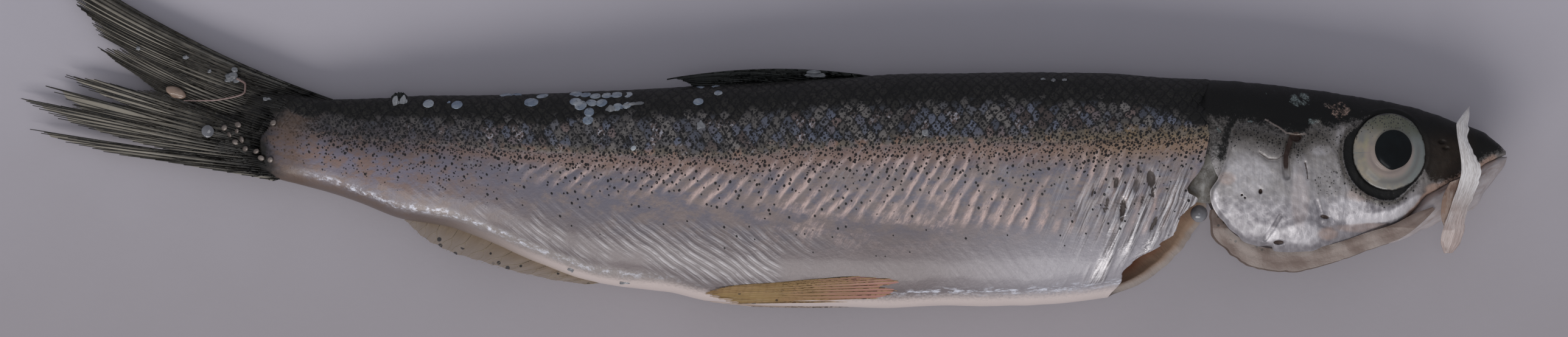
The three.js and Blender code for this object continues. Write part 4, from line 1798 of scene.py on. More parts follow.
        torn = rise(x, 61.5, 69.5) * rise(line - y, 1.2, 4.6) * clear_of_edge
        across = (x - 0.4 * (y + 5)) * 1.7
        strand = 0.5 + 0.5 * Grain(21)(across, y * 0.2) + 0.3 * Grain(22)(across * 2.3, y * 0.5)
        fibre = np.clip(rise(strand, 0.15, 0.75) * torn, 0, 1)
        wound = np.zeros_like(x + y)
        ragged = Grain(23)(x * 3.1, y * 1.6) * 0.1
        for place_x, place_y, wide, tall, tilt, deep in self.wounds:
            wound = np.maximum(
                wound, deep * blob(x + ragged, y + ragged, (place_x, place_y), (wide, tall), tilt),
            )
        return {"ridge": ridge, "fibre": fibre * (1 - wound), "wound": wound, "passed": passed}

    def pockets(self, along_mm: Array, round_mm: Array) -> Array:
        """The height of the scales, highest in their middles.

        Args:
            along_mm: Millimetres along the fish.
            round_mm: Millimetres round it.

        Returns:
            Heights from 0 to 1.
        """
        p = along_mm / FlankSkin.scale_pitch
        q = round_mm / FlankSkin.row_pitch
        away = []
        for offset in (0, 1):
            row = np.round((q - offset) / 2) * 2 + offset
            column = np.round(p - 0.5 * offset) + 0.5 * offset
            away.append(np.abs((p - column) / 0.5) ** 1.25 + np.abs(q - row) ** 1.25)
        return 1 - rise(np.minimum(*away), 0.3, 1.0)

    def build(self, finishes: Finishes) -> None:
        """Makes the trunk's skin with the flesh inside its torn throat.

        Args:
            finishes: The fish's materials.
        """
        angle = self.angles()
        ends = self.ends(angle)
        share = np.linspace(0, 1, self.stations)[:, None]
        base = self.tail_end + share * (self.front_end - self.tail_end)
        beyond = np.clip((base - self.settled) / (self.front_end - self.settled), 0, 1)
        x = np.where(base > self.settled, self.settled + beyond * (ends - self.settled), base)
        rings = TRUNK_FORM.ring(x, angle[None, :])
        y = rings[..., 1]
        along_mm = x * UNIT_MM
        step = np.linalg.norm((np.roll(rings, -1, axis=1) - rings)[..., 1:], axis=2) * UNIT_MM
        run = np.concatenate([np.zeros((len(x), 1)), np.cumsum(step, axis=1)], axis=1)
        right = angle <= math.pi
        quarter = run[:, [np.argmin(np.abs(angle - math.pi / 2))]]
        far_quarter = run[:, [np.argmin(np.abs(angle - 1.5 * math.pi))]]
        round_mm = np.where(right, quarter - run[:, :-1], run[:, :-1] - far_quarter)

        known = self.relief(x, y)
        line = LATERAL_LINE(x)
        up = np.where(y > line, (y - line) / (BACK(x) - line), (y - line) / (line - WHOLE_BELLY(x)))
        lumps = Grain(31)(x * 0.22, round_mm * 0.12) * 0.10 + Grain(32)(x * 0.8, round_mm * 0.5) * 0.02
        scaled = rise(up, -0.05, 0.15) * rise(x, 3, 9)
        turn = known["passed"] - np.floor(known["passed"])
        crest = rise(turn, 0.2, 0.66) * (1 - rise(turn, 0.72, 0.98))
        dive = rise(y, 2.6, 4.2) * rise(x, ends - 3.4, ends - 0.1)
        distance = (
            np.abs(known["ridge"]) * crest * self.ridge_height * np.where(known["ridge"] < 0, 0.35, 1.0)
            + known["fibre"] * self.fibre_height * (0.5 + 0.5 * rise(x, 66, 73))
            - known["wound"] * self.wound_depth
            + self.pockets(along_mm, round_mm) * self.scale_height * scaled
            - peak(up, 0.0, 0.02) * 0.03 * rise(x, 4, 12)
            - peak(y - WHOLE_BELLY(x), 1.15, 0.22) * 0.06 * rise(x, 44, 50)
            + peak(y - WHOLE_BELLY(x), 0.9, 0.4) * 0.07 * (1 - rise(x, 28, 32)) * rise(x, 3, 8)
            - (1 - rise(x, -2.4, 2.0)) * 0.3 * np.abs(np.sin(angle))
            + lumps * rise(x, 0, 10)
        )
        near_rim = 1 - rise(share, 0.985, 1.0)
        outer = rest(push_out(rings, distance * near_rim - dive))

        inner_share = np.linspace(0, 1, self.inner_stations)[:, None]
        inner_x = ends[None, :] + (self.cavity_start - ends[None, :]) * inner_share
        thick = self.thin_wall + (self.wall - self.thin_wall) * rise(-y[-1:], 4.0, 6.0)
        depth = (thick + dive[-1:]) * rise(inner_share, -0.01, 0.05) + 0.3 * rise(inner_share, 0.2, 1.0)
        wavy = Grain(41)(inner_x * 0.9, np.sin(angle)[None, :] * 5) * 0.12 * rise(inner_share, 0.03, 0.2)
        inner = rest(TRUNK_FORM.ring(inner_x, angle[None, :] + 0 * inner_x, depth + wavy), 0.35)
        rim = (outer[-1:] + inner[:1]) / 2
        rim[..., 0] += 0.06

        grid = np.concatenate([outer, rim, inner])
        spare = len(grid) - len(outer)

        def padded(values: Array) -> Array:
            """Repeats the last outer ring's values over the rim and the inner face."""
            return np.concatenate([values, np.repeat(values[-1:], spare, axis=0)])

        inward = np.concatenate([x, np.zeros((1, len(angle))), ends[None, :] - inner_x])
        marks = {
            "grain": padded(np.stack([along_mm, round_mm, known["passed"]], axis=-1)),
            "zone": np.concatenate(
                [padded(np.stack([up, y - WHOLE_BELLY(x)], axis=-1)), inward[..., None]], axis=-1,
            ),
            "relief": padded(np.stack([known["ridge"], known["fibre"], known["wound"]], axis=-1)),
        }
        finish = np.concatenate([np.zeros(len(outer), int), np.ones(spare - 1, int)])
        shape = tube(grid, marks, finish)
        skin = shape.build("trunk_skin", [finishes["flank_skin"], finishes["throat_flesh"]], self.chart, 75)
        install(skin, Slot.SKIN, "body")


# ---------------------------------------------------------------- head


@dataclass(frozen=True)
class Patch:
    """An oval patch on the head."""

    place: tuple[float, float]
    radii: tuple[float, float]
    strength: float = 1.0
    lean: float = 0.0


def patched(x: Array, y: Array, patches: Sequence[Patch]) -> Array:
    """The strength of the strongest patch at each place.

    Args:
        x: Places along the fish.
        y: Places across it.
        patches: The patches.

    Returns:
        Strengths.
    """
    total = np.zeros(np.broadcast(x, y).shape)
    for patch in patches:
        total = np.maximum(total, patch.strength * blob(x, y, patch.place, patch.radii, patch.lean))
    return total


def stroke(x: Array, y: Array, points: Points, width: float) -> Array:
    """A line drawn on the skin, 1 in its middle and 0 past its width.

    Args:
        x: Places along the fish.
        y: Places across it.
        points: The line's corners.
        width: Its half width.

    Returns:
        The line's strength at each place.
    """
    nearest = np.full(np.broadcast(x, y).shape, np.inf)
    for (ax, ay), (bx, by) in zip(points, points[1:]):
        run_x, run_y = bx - ax, by - ay
        t = np.clip(((x - ax) * run_x + (y - ay) * run_y) / (run_x**2 + run_y**2), 0, 1)
        nearest = np.minimum(nearest, np.hypot(x - ax - t * run_x, y - ay - t * run_y))
    return 1 - rise(nearest, 0.35 * width, width)


@dataclass(frozen=True)
class HeadPlan:
    """What the head's surface is like from place to place, for its skin and its gill covers alike."""

    dark_edge: Curve = Curve((
        (74.0, 2.7), (77.6, 2.6), (80.0, 2.25), (81.6, 1.7), (83.2, 1.3), (84.4, 2.3), (86.0, 2.0),
        (87.0, 2.3), (89.8, 2.6), (91.8, 1.6), (93.2, -0.6), (93.4, -1.7), (94.2, -2.3), (95.4, -2.3),
        (97.0, -1.1), (98.4, -0.4), (100.0, 0.3),
    ))
    slot: Points = ((83.0, 0.6), (82.5, 0.7), (82.3, 0.0), (82.05, -0.8), (82.05, -1.7), (82.12, -2.4))
    # The groove under the gill cover's rear edge, which is painted dark as shade.
    groove: Points = ((78.2, 2.65), (77.45, 1.5), (77.1, 0.2), (76.9, -0.9))
    plate: Points = ((79.9, -0.55), (80.6, -1.05), (81.3, -1.1), (82.0, -0.65))
    crack: Points = ((81.6, -5.6), (81.1, -6.5), (80.4, -7.55))
    slit: Points = ((83.6, -1.35), (83.75, -2.0), (83.8, -2.6))
    vein: Points = ((80.4, 2.16), (81.57, 1.47), (82.06, 1.08), (82.85, 0.93), (83.6, 0.98))
    mouth: Points = ((91.6, -6.4), (92.4, -5.4), (93.5, -4.1), (95.6, -2.8), (97.5, -1.9), (98.9, -1.0))
    gleam: Points = ((87.4, -6.0), (89.0, -5.85), (90.6, -5.55), (91.8, -5.05), (92.8, -4.4))
    fold: Points = ((84.5, -4.4), (84.85, -5.4), (84.9, -6.3), (86.0, -6.6), (88.6, -6.45), (90.4, -6.3))
    shining: tuple[Patch, ...] = (
        Patch((83.3, 3.78), (1.1, 0.7), 0.8), Patch((86.5, 2.9), (0.9, 0.9), 0.7),
        Patch((84.4, 2.0), (0.62, 0.35), 0.9), Patch((81.0, 4.2), (0.6, 0.5), 0.35),
        Patch((79.4, 4.0), (0.4, 0.5), 0.25), Patch((76.7, 1.4), (0.3, 0.5), 0.5),
        Patch((85.6, 3.3), (0.6, 0.3), 0.5), Patch((79.2, 2.0), (0.3, 0.12), 0.9),
    )
    # Silvery patches; the small one at (94.7, -3.0) is a painted glint.
    bright: tuple[Patch, ...] = (
        Patch((86.45, 0.9), (0.42, 1.3), 0.5, 0.1), Patch((83.5, -7.1), (1.7, 1.1), 0.5),
        Patch((81.0, -7.15), (0.6, 0.75), 0.8), Patch((79.0, -2.2), (2.2, 1.9), 0.18),
        Patch((83.2, -2.8), (0.75, 3.4), 0.28), Patch((87.2, -5.1), (1.9, 1.1), 0.3),
        Patch((94.7, -3.0), (0.45, 0.2), 0.9), Patch((85.0, -0.3), (0.9, 0.5), 0.3),
        Patch((93.6, -4.6), (1.2, 0.5), 0.35, -0.8), Patch((98.2, -0.9), (1.0, 0.6), 0.5),
        Patch((76.4, -4.6), (0.3, 1.2), 0.4), Patch((79.2, -6.0), (2.4, 1.6), 0.1),
    )
    flushed: tuple[Patch, ...] = (
        Patch((85.5, -7.05), (0.9, 0.6), 0.5), Patch((83.2, -4.2), (0.8, 2.6), 0.2),
        Patch((94.3, -3.5), (1.0, 0.6), 0.8), Patch((94.0, -4.9), (1.2, 0.7), 0.55, -0.6),
        Patch((88.2, -3.9), (1.4, 0.6), 0.35), Patch((77.3, -2.6), (0.8, 0.6), 0.4),
        Patch((89.0, -6.6), (3.4, 0.4), 0.35),
    )
    holes: tuple[Patch, ...] = (
        Patch((85.2, -5.7), (0.42, 0.2), 0.7, -0.7), Patch((81.5, -7.75), (0.5, 0.2), 0.8),
        Patch((80.0, -3.64), (0.16, 0.22)), Patch((78.5, -3.92), (0.09, 0.08)),
        Patch((78.75, -4.15), (0.09, 0.08)), Patch((82.9, 0.75), (0.5, 0.45), 0.8),
    )

    def eye_distance(self, x: Array, y: Array) -> Array:
        """The distance from the eye's middle, 1 being its rim."""
        return np.hypot((x - EYE_PLACE[0]) / EYE_RADII[0], (y - EYE_PLACE[1]) / EYE_RADII[1])

    def orbit(self, x: Array, y: Array) -> tuple[Array, Array]:
        """The black ring round the eye, wide behind and below it.

        Args:
            x: Places along the fish.
            y: Places across it.

        Returns:
            The ring's strength, and how far outside it a place is.
        """
        away = self.eye_distance(x, y)
        turn = np.arctan2(y - EYE_PLACE[1], x - EYE_PLACE[0])
        behind = rise(np.cos(turn + 2.45), 0.1, 0.65)
        width = 0.05 + 0.2 * behind
        return rise(away, 0.88, 0.95) * (1 - rise(away, 0.98 + width, 1.05 + width)), away - 1 - width

    def marks(self, x: Array, y: Array) -> dict[str, Array]:
        """The marks that the head's finish reads.

        Args:
            x: Places along the fish.
            y: Places across it.

        Returns:
            grain, tone and flush.
        """
        orbit, outside = self.orbit(x, y)
        over = y - self.dark_edge(x)
        cleft = stroke(x, y, self.slot, 0.3)
        # The groove under the gill cover's edge is painted dark as shade.
        dark = np.maximum.reduce([rise(over, -1.7, 0.5), orbit, stroke(x, y, self.groove, 0.55) * 0.8])
        # A painted shadow along the trunk's front edge, where its skin overlaps the head.
        dark = np.maximum(dark, 0.7 * stroke(x, y, ((76.2, 3.3), (75.8, 1.6), (75.6, 0.4)), 0.3))
        strap = (1 - rise(x, 76.9, 77.5)) * rise(y, -3.2, -0.2)
        dark = np.maximum(dark, 0.52 * strap)
        silver = (
            0.48 + patched(x, y, self.bright) - 0.55 * rise(over, -4.4, -0.8)
            - 0.2 * (1 - rise(y, -6.6, -4.6))
        )
        silver = (
            silver - 0.2 * rise(x, 92.0, 94.0) + 0.8 * stroke(x, y, self.gleam, 0.62)
            - 0.34 * blob(x, y, (90.0, -4.6), (2.0, 1.0))
        )
        near_eye = peak(outside, 0.05, 0.13) * rise(-(x - 93.6), 0.0, 1.5)
        upper = rise(over, -3.1, -1.2) * rise(-x, -86.6, -84.8) * rise(x, 75.2, 76.0)
        speckle = np.clip(
            upper * 0.72 + near_eye * 0.8 + 0.25 * blob(x, y, (85.6, -2.9), (1.4, 1.6)) + strap * 0.5, 0,
            0.85,
        )
        brown = rise(x, 92.2, 94.6) * (1 - 0.9 * rise(x, 96.6, 98.0)) * (1 - rise(y, -0.4, 2.0)) * 0.65
        wound = np.maximum(patched(x, y, self.holes), 0.55 * stroke(x, y, self.slit, 0.13))
        wound = np.maximum(wound, 0.4 * stroke(x, y, self.crack, 0.1))
        wound = np.maximum(wound, 0.9 * cleft * rise(y, -2.5, -1.3))
        wound = np.maximum(wound, 0.5 * stroke(x, y, self.plate, 0.1))
        pink = np.maximum.reduce([
            patched(x, y, self.flushed), 0.3 * stroke(x, y, self.vein, 0.1), stroke(x, y, self.mouth, 0.5),
        ])
        clear = 1 - 0.6 * stroke(x, y, self.vein, 0.1)
        return {
            "grain": np.stack([x, y, patched(x, y, self.shining)], axis=-1),
            "tone": np.stack(
                [np.clip(dark * clear, 0, 1), np.clip(silver, 0, 1), speckle * (1 - dark)], axis=-1,
            ),
            "flush": np.stack([pink, brown, np.clip(wound * clear, 0, 1)], axis=-1),
        }

    def relief(self, x: Array, y: Array) -> Array:
        """Bone edges, pits and folds on the head.

        Args:
            x: Places along the fish.
            y: Places across it.

        Returns:
            Heights in hundredths.
        """
        orbit, outside = self.orbit(x, y)
        lip = peak(outside, 0.02, 0.05) * 0.08 - orbit * 0.1
        bones = (
            -stroke(x, y, self.plate, 0.22) * 0.05 - stroke(x, y, self.slot, 0.4) * 0.3
            - stroke(x, y, self.crack, 0.2) * 0.15 - stroke(x, y, self.slit, 0.2) * 0.1
            + stroke(x, y, self.vein, 0.16) * 0.03 - stroke(x, y, self.fold, 0.22) * 0.1
            + blob(x, y, (83.4, -7.0), (1.8, 1.2)) * 0.12 + blob(x, y, (81.1, 0.0), (1.2, 1.1)) * 0.08
            - patched(x, y, self.holes) * 0.2
        )
        nostrils = (
            -blob(x, y, (94.7, 0.35), (0.32, 0.2)) * 0.2 - blob(x, y, (95.0, -0.15), (0.3, 0.16)) * 0.18
        )
        dents = Grain(51)(x * 1.1, y * 1.1) * 0.05 + Grain(52)(x * 3.0, y * 2.2) * 0.02
        streaks = Grain(53)(x * 4.2, y * 0.7) * 0.035 * peak(y, -3.0, 3.0)
        return lip + bones + nostrils + dents + streaks


@dataclass
class Head:
    """The skull with its skin, from under the nape to the snout, with a socket for each eye."""

    chart: Chart
    plan: HeadPlan
    start: float = 70.0
    stations: int = 190
    rows: int = 250
    socket_depth: float = 1.5

    def build(self, finishes: Finishes) -> None:
        """Makes the head's skin.

        Args:
            finishes: The fish's materials.
        """
        lead = np.linspace(self.start, 78.0, 40, endpoint=False)
        main = np.linspace(78.0, 100.0, self.stations)
        x = np.concatenate([lead, main])[:, None]
        angle = np.linspace(0, 2 * math.pi, self.rows, endpoint=False)[None, :]
        crown = rise(np.cos(angle), 0.7, 0.9)
        sink = 0.9 * (1 - rise(x, 74.9, 76.3)) + 0.12 * (1 - rise(x, 76.3, 78.5)) * (1 - 0.9 * crown)
        rings = HEAD_FORM.ring(x + 0 * angle, angle + 0 * x, sink + 0 * angle)
        y = rings[..., 1]
        socket = 1 - rise(self.plan.eye_distance(x, y), 0.88, 1.0)
        distance = self.plan.relief(x, y) * rise(x, 76, 79) - socket * self.socket_depth
        distance = distance * (1 - rise(x, 98.5, 99.9))
        grid = rest(push_out(rings, distance))
        marks = self.plan.marks(x + 0 * y, y)
        shape = tube(grid, marks)
        install(shape.build("head_skin", [finishes["head_skin"]], self.chart, 80), Slot.SKIN, "body")


@dataclass
class Eye:
    """An eyeball with its iris ring, sunk pupil edge and bulging lens."""

    chart: Chart
    side: Side
    rings: int = 40
    around: int = 96
    pupil_share: float = 0.505
    swell: float = 0.62

    def plane(self, dx: Array, dy: Array) -> Array:
        """The height of the socket's rim, laid flat through the skin at four places round the eye.

        Args:
            dx: Places along the fish from the eye's middle.
            dy: Places across it.

        Returns:
            Heights on the right flank.
        """
        def skin(x: float, y: float) -> float:
            """The skin's height at one place."""
            return float(HEAD_FORM.height(np.array(x), np.array(y)))

        x, y = EYE_PLACE
        reach_x, reach_y = EYE_RADII
        front, rear = skin(x + reach_x, y), skin(x - reach_x, y)
        above, below = skin(x, y + reach_y), skin(x, y - reach_y)
        level = (front + rear + above + below) / 4
        return level + (front - rear) / (2 * reach_x) * dx + (above - below) / (2 * reach_y) * dy

    def face(self, heights: Callable[[Array], Array], reach: float, low: float) -> tuple[Array, Array]:
        """A round closed surface of rings from the middle out and back underneath.

        Args:
            heights: The height over the rim's plane at each distance from the middle.
            reach: The outermost distance, 1 being the socket's rim.
            low: How far the back lies under the plane.

        Returns:
            The rings and their distances.
        """
        out = np.concatenate([np.linspace(0.02, reach, self.rings), np.linspace(reach, 0.1, 10)[1:]])
        under = np.arange(len(out)) >= self.rings
        theta = np.linspace(0, 2 * math.pi, self.around, endpoint=False)
        pinch = 1 + 0.07 * np.exp(-((np.degrees(theta) - 262) / 16) ** 2) * (reach < 0.6)
        dx = out[:, None] * np.cos(theta)[None, :] * EYE_RADII[0] * pinch
        dy = out[:, None] * np.sin(theta)[None, :] * EYE_RADII[1] * pinch
        z = self.plane(dx, dy) + np.where(
            under, -low * np.sqrt(np.clip(1.02 - (out / reach) ** 2, 0, 1)) - 0.1, heights(out),
        )[:, None]
        if self.side is Side.LEFT:
            z = 2 * MIDDLE(EYE_PLACE[0]) - z
        return np.stack([EYE_PLACE[0] + dx, EYE_PLACE[1] + dy, np.maximum(z, 0.05)], axis=-1), out

    def build(self, finishes: Finishes) -> None:
        """Makes the eyeball and the pupil.

        Args:
            finishes: The fish's materials.
        """
        name = self.side.name.lower()
        node = f"eye_{name}"

        def iris_height(out: Array) -> Array:
            """A shallow dome with a faint trough at the pupil."""
            dome = self.swell * np.sqrt(np.clip(1.04 - out**2, 0, 1))
            return dome - 0.06 * peak(out, self.pupil_share, 0.05)

        rings, out = self.face(iris_height, 1.0, 1.6)
        dy = (rings[..., 1] - EYE_PLACE[1]) / EYE_RADII[1]
        dx = (rings[..., 0] - EYE_PLACE[0]) / EYE_RADII[0]
        marks = {"disc": np.stack([out[:, None] + 0 * dx, dy, np.arctan2(dy, dx)], axis=-1)}
        ball = tube(rings, marks).build(f"eyeball_{name}", [finishes["iris"]], self.chart, 80)
        install(ball, Slot.EYE, node)

        def lens_height(out: Array) -> Array:
            """The lens, which stands a little over the iris."""
            return (
                iris_height(0 * out) + 0.1 * np.sqrt(np.clip(1 - (out / self.pupil_share) ** 2, 0, 1))
                - 0.06 * (out / self.pupil_share) ** 4
            )

        rings, _ = self.face(lens_height, self.pupil_share, 0.3)
        rings[..., 0] += 0.32
        rings[..., 1] += 0.2
        pupil = tube(rings, {}).build(f"pupil_{name}", [finishes["pupil"]], self.chart, 80)
        install(pupil, Slot.EYE, node)


@dataclass
class GillCover:
    """The bony flap over the gills: free behind and below, joined to the cheek in front."""

    chart: Chart
    plan: HeadPlan
    side: Side
    centre: tuple[float, float] = (81.6, -3.2)
    rings: int = 90
    around: int = 300
    thickness: float = 0.42
    outline: Points = (
        (77.9, 1.7), (77.5, 0.4), (77.15, -1.0), (76.65, -2.5), (75.95, -3.75), (76.15, -4.8), (76.55, -5.5),
        (77.25, -6.3), (78.05, -7.15), (78.9, -7.75), (80.0, -8.05), (80.9, -7.95), (81.2, -8.45),
        (82.6, -8.55), (84.0, -8.5), (85.1, -8.1), (86.1, -7.5), (86.9, -6.6), (87.3, -4.4), (87.0, -2.0),
        (86.0, 0.5), (84.3, 1.9), (81.0, 2.4), (79.0, 2.4), (77.9, 1.7),
    )

    def build(self, finishes: Finishes) -> None:
        """Makes the cover.

        Args:
            finishes: The fish's materials.
        """
        edge = along(self.outline, self.around + 1)[:-1]
        edge += Grain(61)(edge[:, :1] * 1.6, edge[:, 1:] * 1.6) * np.array([0.07, 0.07])
        share = (np.linspace(0, 1, self.rings) ** 0.8)[:, None, None]
        flat = np.array(self.centre) + share * (edge[None] - np.array(self.centre))
        x, y = flat[..., 0], flat[..., 1]
        free = 1 - rise(x + 0.35 * (y + 3), 81.5, 86.0)
        free = free * (1 - rise(y, 0.6, 2.3))
        skin = HEAD_FORM.height(x, np.maximum(y, HEAD_BELLY(x) + 0.6))
        shell = COVER_FORM.height(x, np.maximum(y, COVER_BELLY(x) + 0.25))
        curl = rise(share[..., 0], 0.93, 1.0) * 0.22 * free
        buried = rise(share[..., 0], 0.9, 1.0) * 0.25 * (1 - free)
        z = skin * (1 - free) + shell * free + 0.07 + self.plan.relief(x, y) - curl - buried
        if self.side is Side.LEFT:
            z = np.maximum(2 * MIDDLE(x) - z, 0.02) + self.thickness
        top = np.stack([x, y, z], axis=-1)
        shape = slab(top, self.thickness, self.plan.marks(x, y), wrap=True)
        name = f"gill_cover_{self.side.name.lower()}"
        install(shape.build(name + "_skin", [finishes["head_skin"]], self.chart, 60), Slot.GILL_COVER, name)


def ribbon(first: Points, second: Points, height: Field, thickness: float, rows: int, columns: int,
           frill: float = 0.0, crown: float = 0.0) -> Shape:
    """A closed strip between two edges.

    Args:
        first: One edge's corners.
        second: The other edge's corners, in the same order.
        height: The strip's height over (x, y).
        thickness: How thick it is.
        rows: How many steps along it.
        columns: How many steps across it.
        frill: How ragged the second edge is.
        crown: How far its middle stands up.

    Returns:
        The shape, with the span mark.
    """
    a, b = along(first, rows), along(second, rows)
    b = b + Grain(71)(b[:, :1] * 2.3, b[:, 1:] * 2.3) * frill
    share = np.linspace(0, 1, columns)[None, :, None]
    flat = a[:, None] + (b - a)[:, None] * share
    x, y = flat[..., 0], flat[..., 1]
    wave = Grain(72)(x * 0.9, y * 0.9) * 0.08
    arch = crown * 4 * share[..., 0] * (1 - share[..., 0])
    top = np.stack([x, y, height(x, y) + wave + arch + thickness / 2], axis=-1)
    span = np.stack([share[..., 0] + 0 * x, np.linspace(0, 1, rows)[:, None] + 0 * x, 0 * x], axis=-1)
    profile = thickness * (
        0.35 + 0.65 * np.sqrt(np.clip(4 * share[..., 0] * (1 - share[..., 0]), 0, 1))
    ) + 0 * x
    return slab(rest(top, thickness + 0.03), profile, {"span": span})


@dataclass
class Jaws:
    """The lower jaw, the upper jaw's two blades, the mouth's corner and the gill membranes."""

    chart: Chart
    jaw_top: Curve = Curve((
        (89.9, -7.6), (90.7, -6.8), (92.3, -5.4), (93.6, -3.9), (95.6, -2.7), (97.5, -1.75), (98.8, -1.1),
        (99.6, -0.85), (100.1, -0.85),
    ))
    jaw_bottom: Curve = Curve((
        (89.9, -7.9), (91.4, -7.6), (93.4, -6.7), (94.5, -6.2), (96.3, -5.6), (97.6, -4.8), (98.4, -3.5),
        (99.1, -2.6), (99.9, -1.6), (100.1, -0.95),
    ))
    ends: tuple[float, float] = (89.9, 100.1)
    jaw_half: Curve = Curve(((89.9, 1.2), (92.0, 1.9), (94.0, 1.8), (97.5, 1.3), (99.2, 0.85), (100.1, 0.25)))

    def build(self, finishes: Finishes) -> None:
        """Makes the jaws and membranes.

        Args:
            finishes: The fish's materials.
        """
        self.build_lower_jaw(finishes)
        self.build_blades(finishes)
        for side in Side:
            self.build_membrane(side, finishes)
        self.build_throat_skin(finishes)

    def build_lower_jaw(self, finishes: Finishes) -> None:
        """The lower jaw, a slim trough of bone under thin skin.

        Args:
            finishes: The fish's materials.
        """
        form = Form(self.jaw_top, self.jaw_bottom, self.jaw_half, MIDDLE, 2.0)
        x = np.linspace(*self.ends, 90)[:, None]
        angle = np.linspace(0, 2 * math.pi, 64, endpoint=False)[None, :]
        rings = form.ring(x + 0 * angle, angle + 0 * x)
        bumps = Grain(81)(x * 2.2, angle * 3.0) * 0.06 + Grain(82)(x * 0.8, angle * 6.0) * 0.04
        shape = tube(rest(push_out(rings, bumps * rise(self.ends[1] - x, 0.1, 1.5)), 0.05), {})
        install(shape.build("lower_jaw_skin", [finishes["jaw_skin"]], self.chart, 80), Slot.JAW, "lower_jaw")

    def build_throat_skin(self, finishes: Finishes) -> None:
        """The clear skin that spans the gap between the trunk and the right gill cover.

        Args:
            finishes: The fish's materials.
        """
        patch = ribbon(
            ((75.4, -0.6), (74.5, -1.9), (74.0, -3.1), (74.6, -4.5)),
            ((77.0, -0.8), (76.9, -2.0), (76.4, -3.2), (76.0, -4.6)),
            lambda x, y: TRUNK_FORM.height(np.minimum(x, 74.0), y) - 0.9, 0.2, 50, 30, 0.06, 0.12,
        )
        install(patch.build("throat_skin", [finishes["throat_web"]], self.chart, 60), Slot.MEMBRANE)

    def build_blades(self, finishes: Finishes) -> None:
        """The two blades of the upper jaw.

        Args:
            finishes: The fish's materials.
        """
        above = Curve(((-8.6, 1.9), (-7.6, 2.5), (-6.5, 2.95), (-3.5, 3.6), (-0.5, 4.3), (3.1, 3.5)))

        def over_mouth(x: Array, y: Array) -> Array:
            """The swung blade's height."""
            return MIDDLE(x) + above(y)

        swung = ribbon(
            (
                (96.85, 3.2), (96.2, 2.4), (95.8, 1.7), (95.85, 0.85), (95.95, 0.2), (96.15, -1.15),
                (96.2, -1.9), (95.95, -3.2), (95.55, -4.3), (95.2, -5.45), (94.8, -6.55), (94.6, -7.65),
                (94.9, -8.65),
            ),
            (
                (96.89, 3.2), (96.87, 2.4), (96.78, 1.7), (96.75, 0.85), (96.82, 0.15), (97.4, -1.15),
                (97.85, -1.9), (97.5, -3.2), (97.05, -4.3), (96.7, -5.45), (96.52, -6.55), (96.3, -7.65),
                (95.6, -8.6),
            ),
            over_mouth, 0.24, 130, 26, 0.14, 0.16,
        )
        install(
            swung.build("upper_jaw_blade_right_bone", [finishes["jaw_bone"]], self.chart, 60), Slot.JAW_BLADE,
            "upper_jaw_blade_right",
        )

        corner = ribbon(
            ((95.3, -2.9), (94.7, -4.3), (94.6, -5.5), (94.9, -6.6)),
            ((96.5, -2.5), (96.2, -3.9), (95.6, -5.4), (95.2, -6.7)),
            lambda x, y: over_mouth(x, y) - 0.35, 0.3, 60, 14, 0.06, 0.1,
        )
        install(
            corner.build("mouth_corner_skin", [finishes["mouth_corner"]], self.chart, 60), Slot.JAW_BLADE,
            "upper_jaw_blade_right",
        )

        def on_left_cheek(x: Array, y: Array) -> Array:
            """Just outside the skin of the left cheek."""
            return np.maximum(HEAD_FORM.height(x, y, Side.LEFT) - 0.2, 0.1)

        closed = ribbon(
            ((98.2, -0.8), (96.6, -0.9), (94.6, -1.9), (92.6, -3.0), (91.9, -4.0)),
            ((98.2, -1.0), (97.0, -1.8), (95.2, -3.1), (93.6, -4.0), (92.4, -4.6)),
            on_left_cheek, 0.3, 60, 14, 0.04, 0.0,
        )
        install(
            closed.build("upper_jaw_blade_left_bone", [finishes["jaw_bone"]], self.chart, 60), Slot.JAW_BLADE,
            "upper_jaw_blade_left",
        )

    def build_membrane(self, side: Side, finishes: Finishes) -> None:
        """The thin skin that hangs below a gill cover.

        Args:
            side: Which cover.
            finishes: The fish's materials.
        """
        reach = 1.0 if side is Side.LEFT else 0.93
        inner = np.array((
            (76.9, -5.0), (77.2, -6.2), (78.6, -7.5), (80.0, -8.1), (81.4, -8.3), (82.8, -8.4), (84.6, -8.2),
            (86.6, -7.7), (88.6, -7.0), (90.8, -6.3), (92.6, -5.4), (94.0, -4.9),
        ))
        outer = np.array((
            (76.1, -5.2), (76.2, -7.0), (77.3, -8.3), (79.1, -9.6), (80.8, -10.1), (82.8, -10.2),
            (84.9, -9.8), (87.1, -9.1), (89.3, -8.3), (91.5, -7.5), (93.2, -6.2), (94.2, -5.1),
        ))
        outer = inner + (outer - inner) * reach

        def hanging(x: Array, y: Array) -> Array:
            """Falls from under the cover to its free edge."""
            drop = np.clip((-6.5 - y) / 3.8, 0, 1)
            return MIDDLE(x) + (1.9 - 1.4 * drop if side is Side.RIGHT else -1.6 + 0.2 * drop)

        shape = ribbon(
            [tuple(row) for row in inner], [tuple(row) for row in outer], hanging, 0.22, 150, 22, 0.05, 0.0,
        )
        name = f"gill_membrane_{side.name.lower()}"
        install(shape.build(name + "_skin", [finishes["gill_membrane"]], self.chart, 60), Slot.MEMBRANE, name)


# ---------------------------------------------------------------- fins


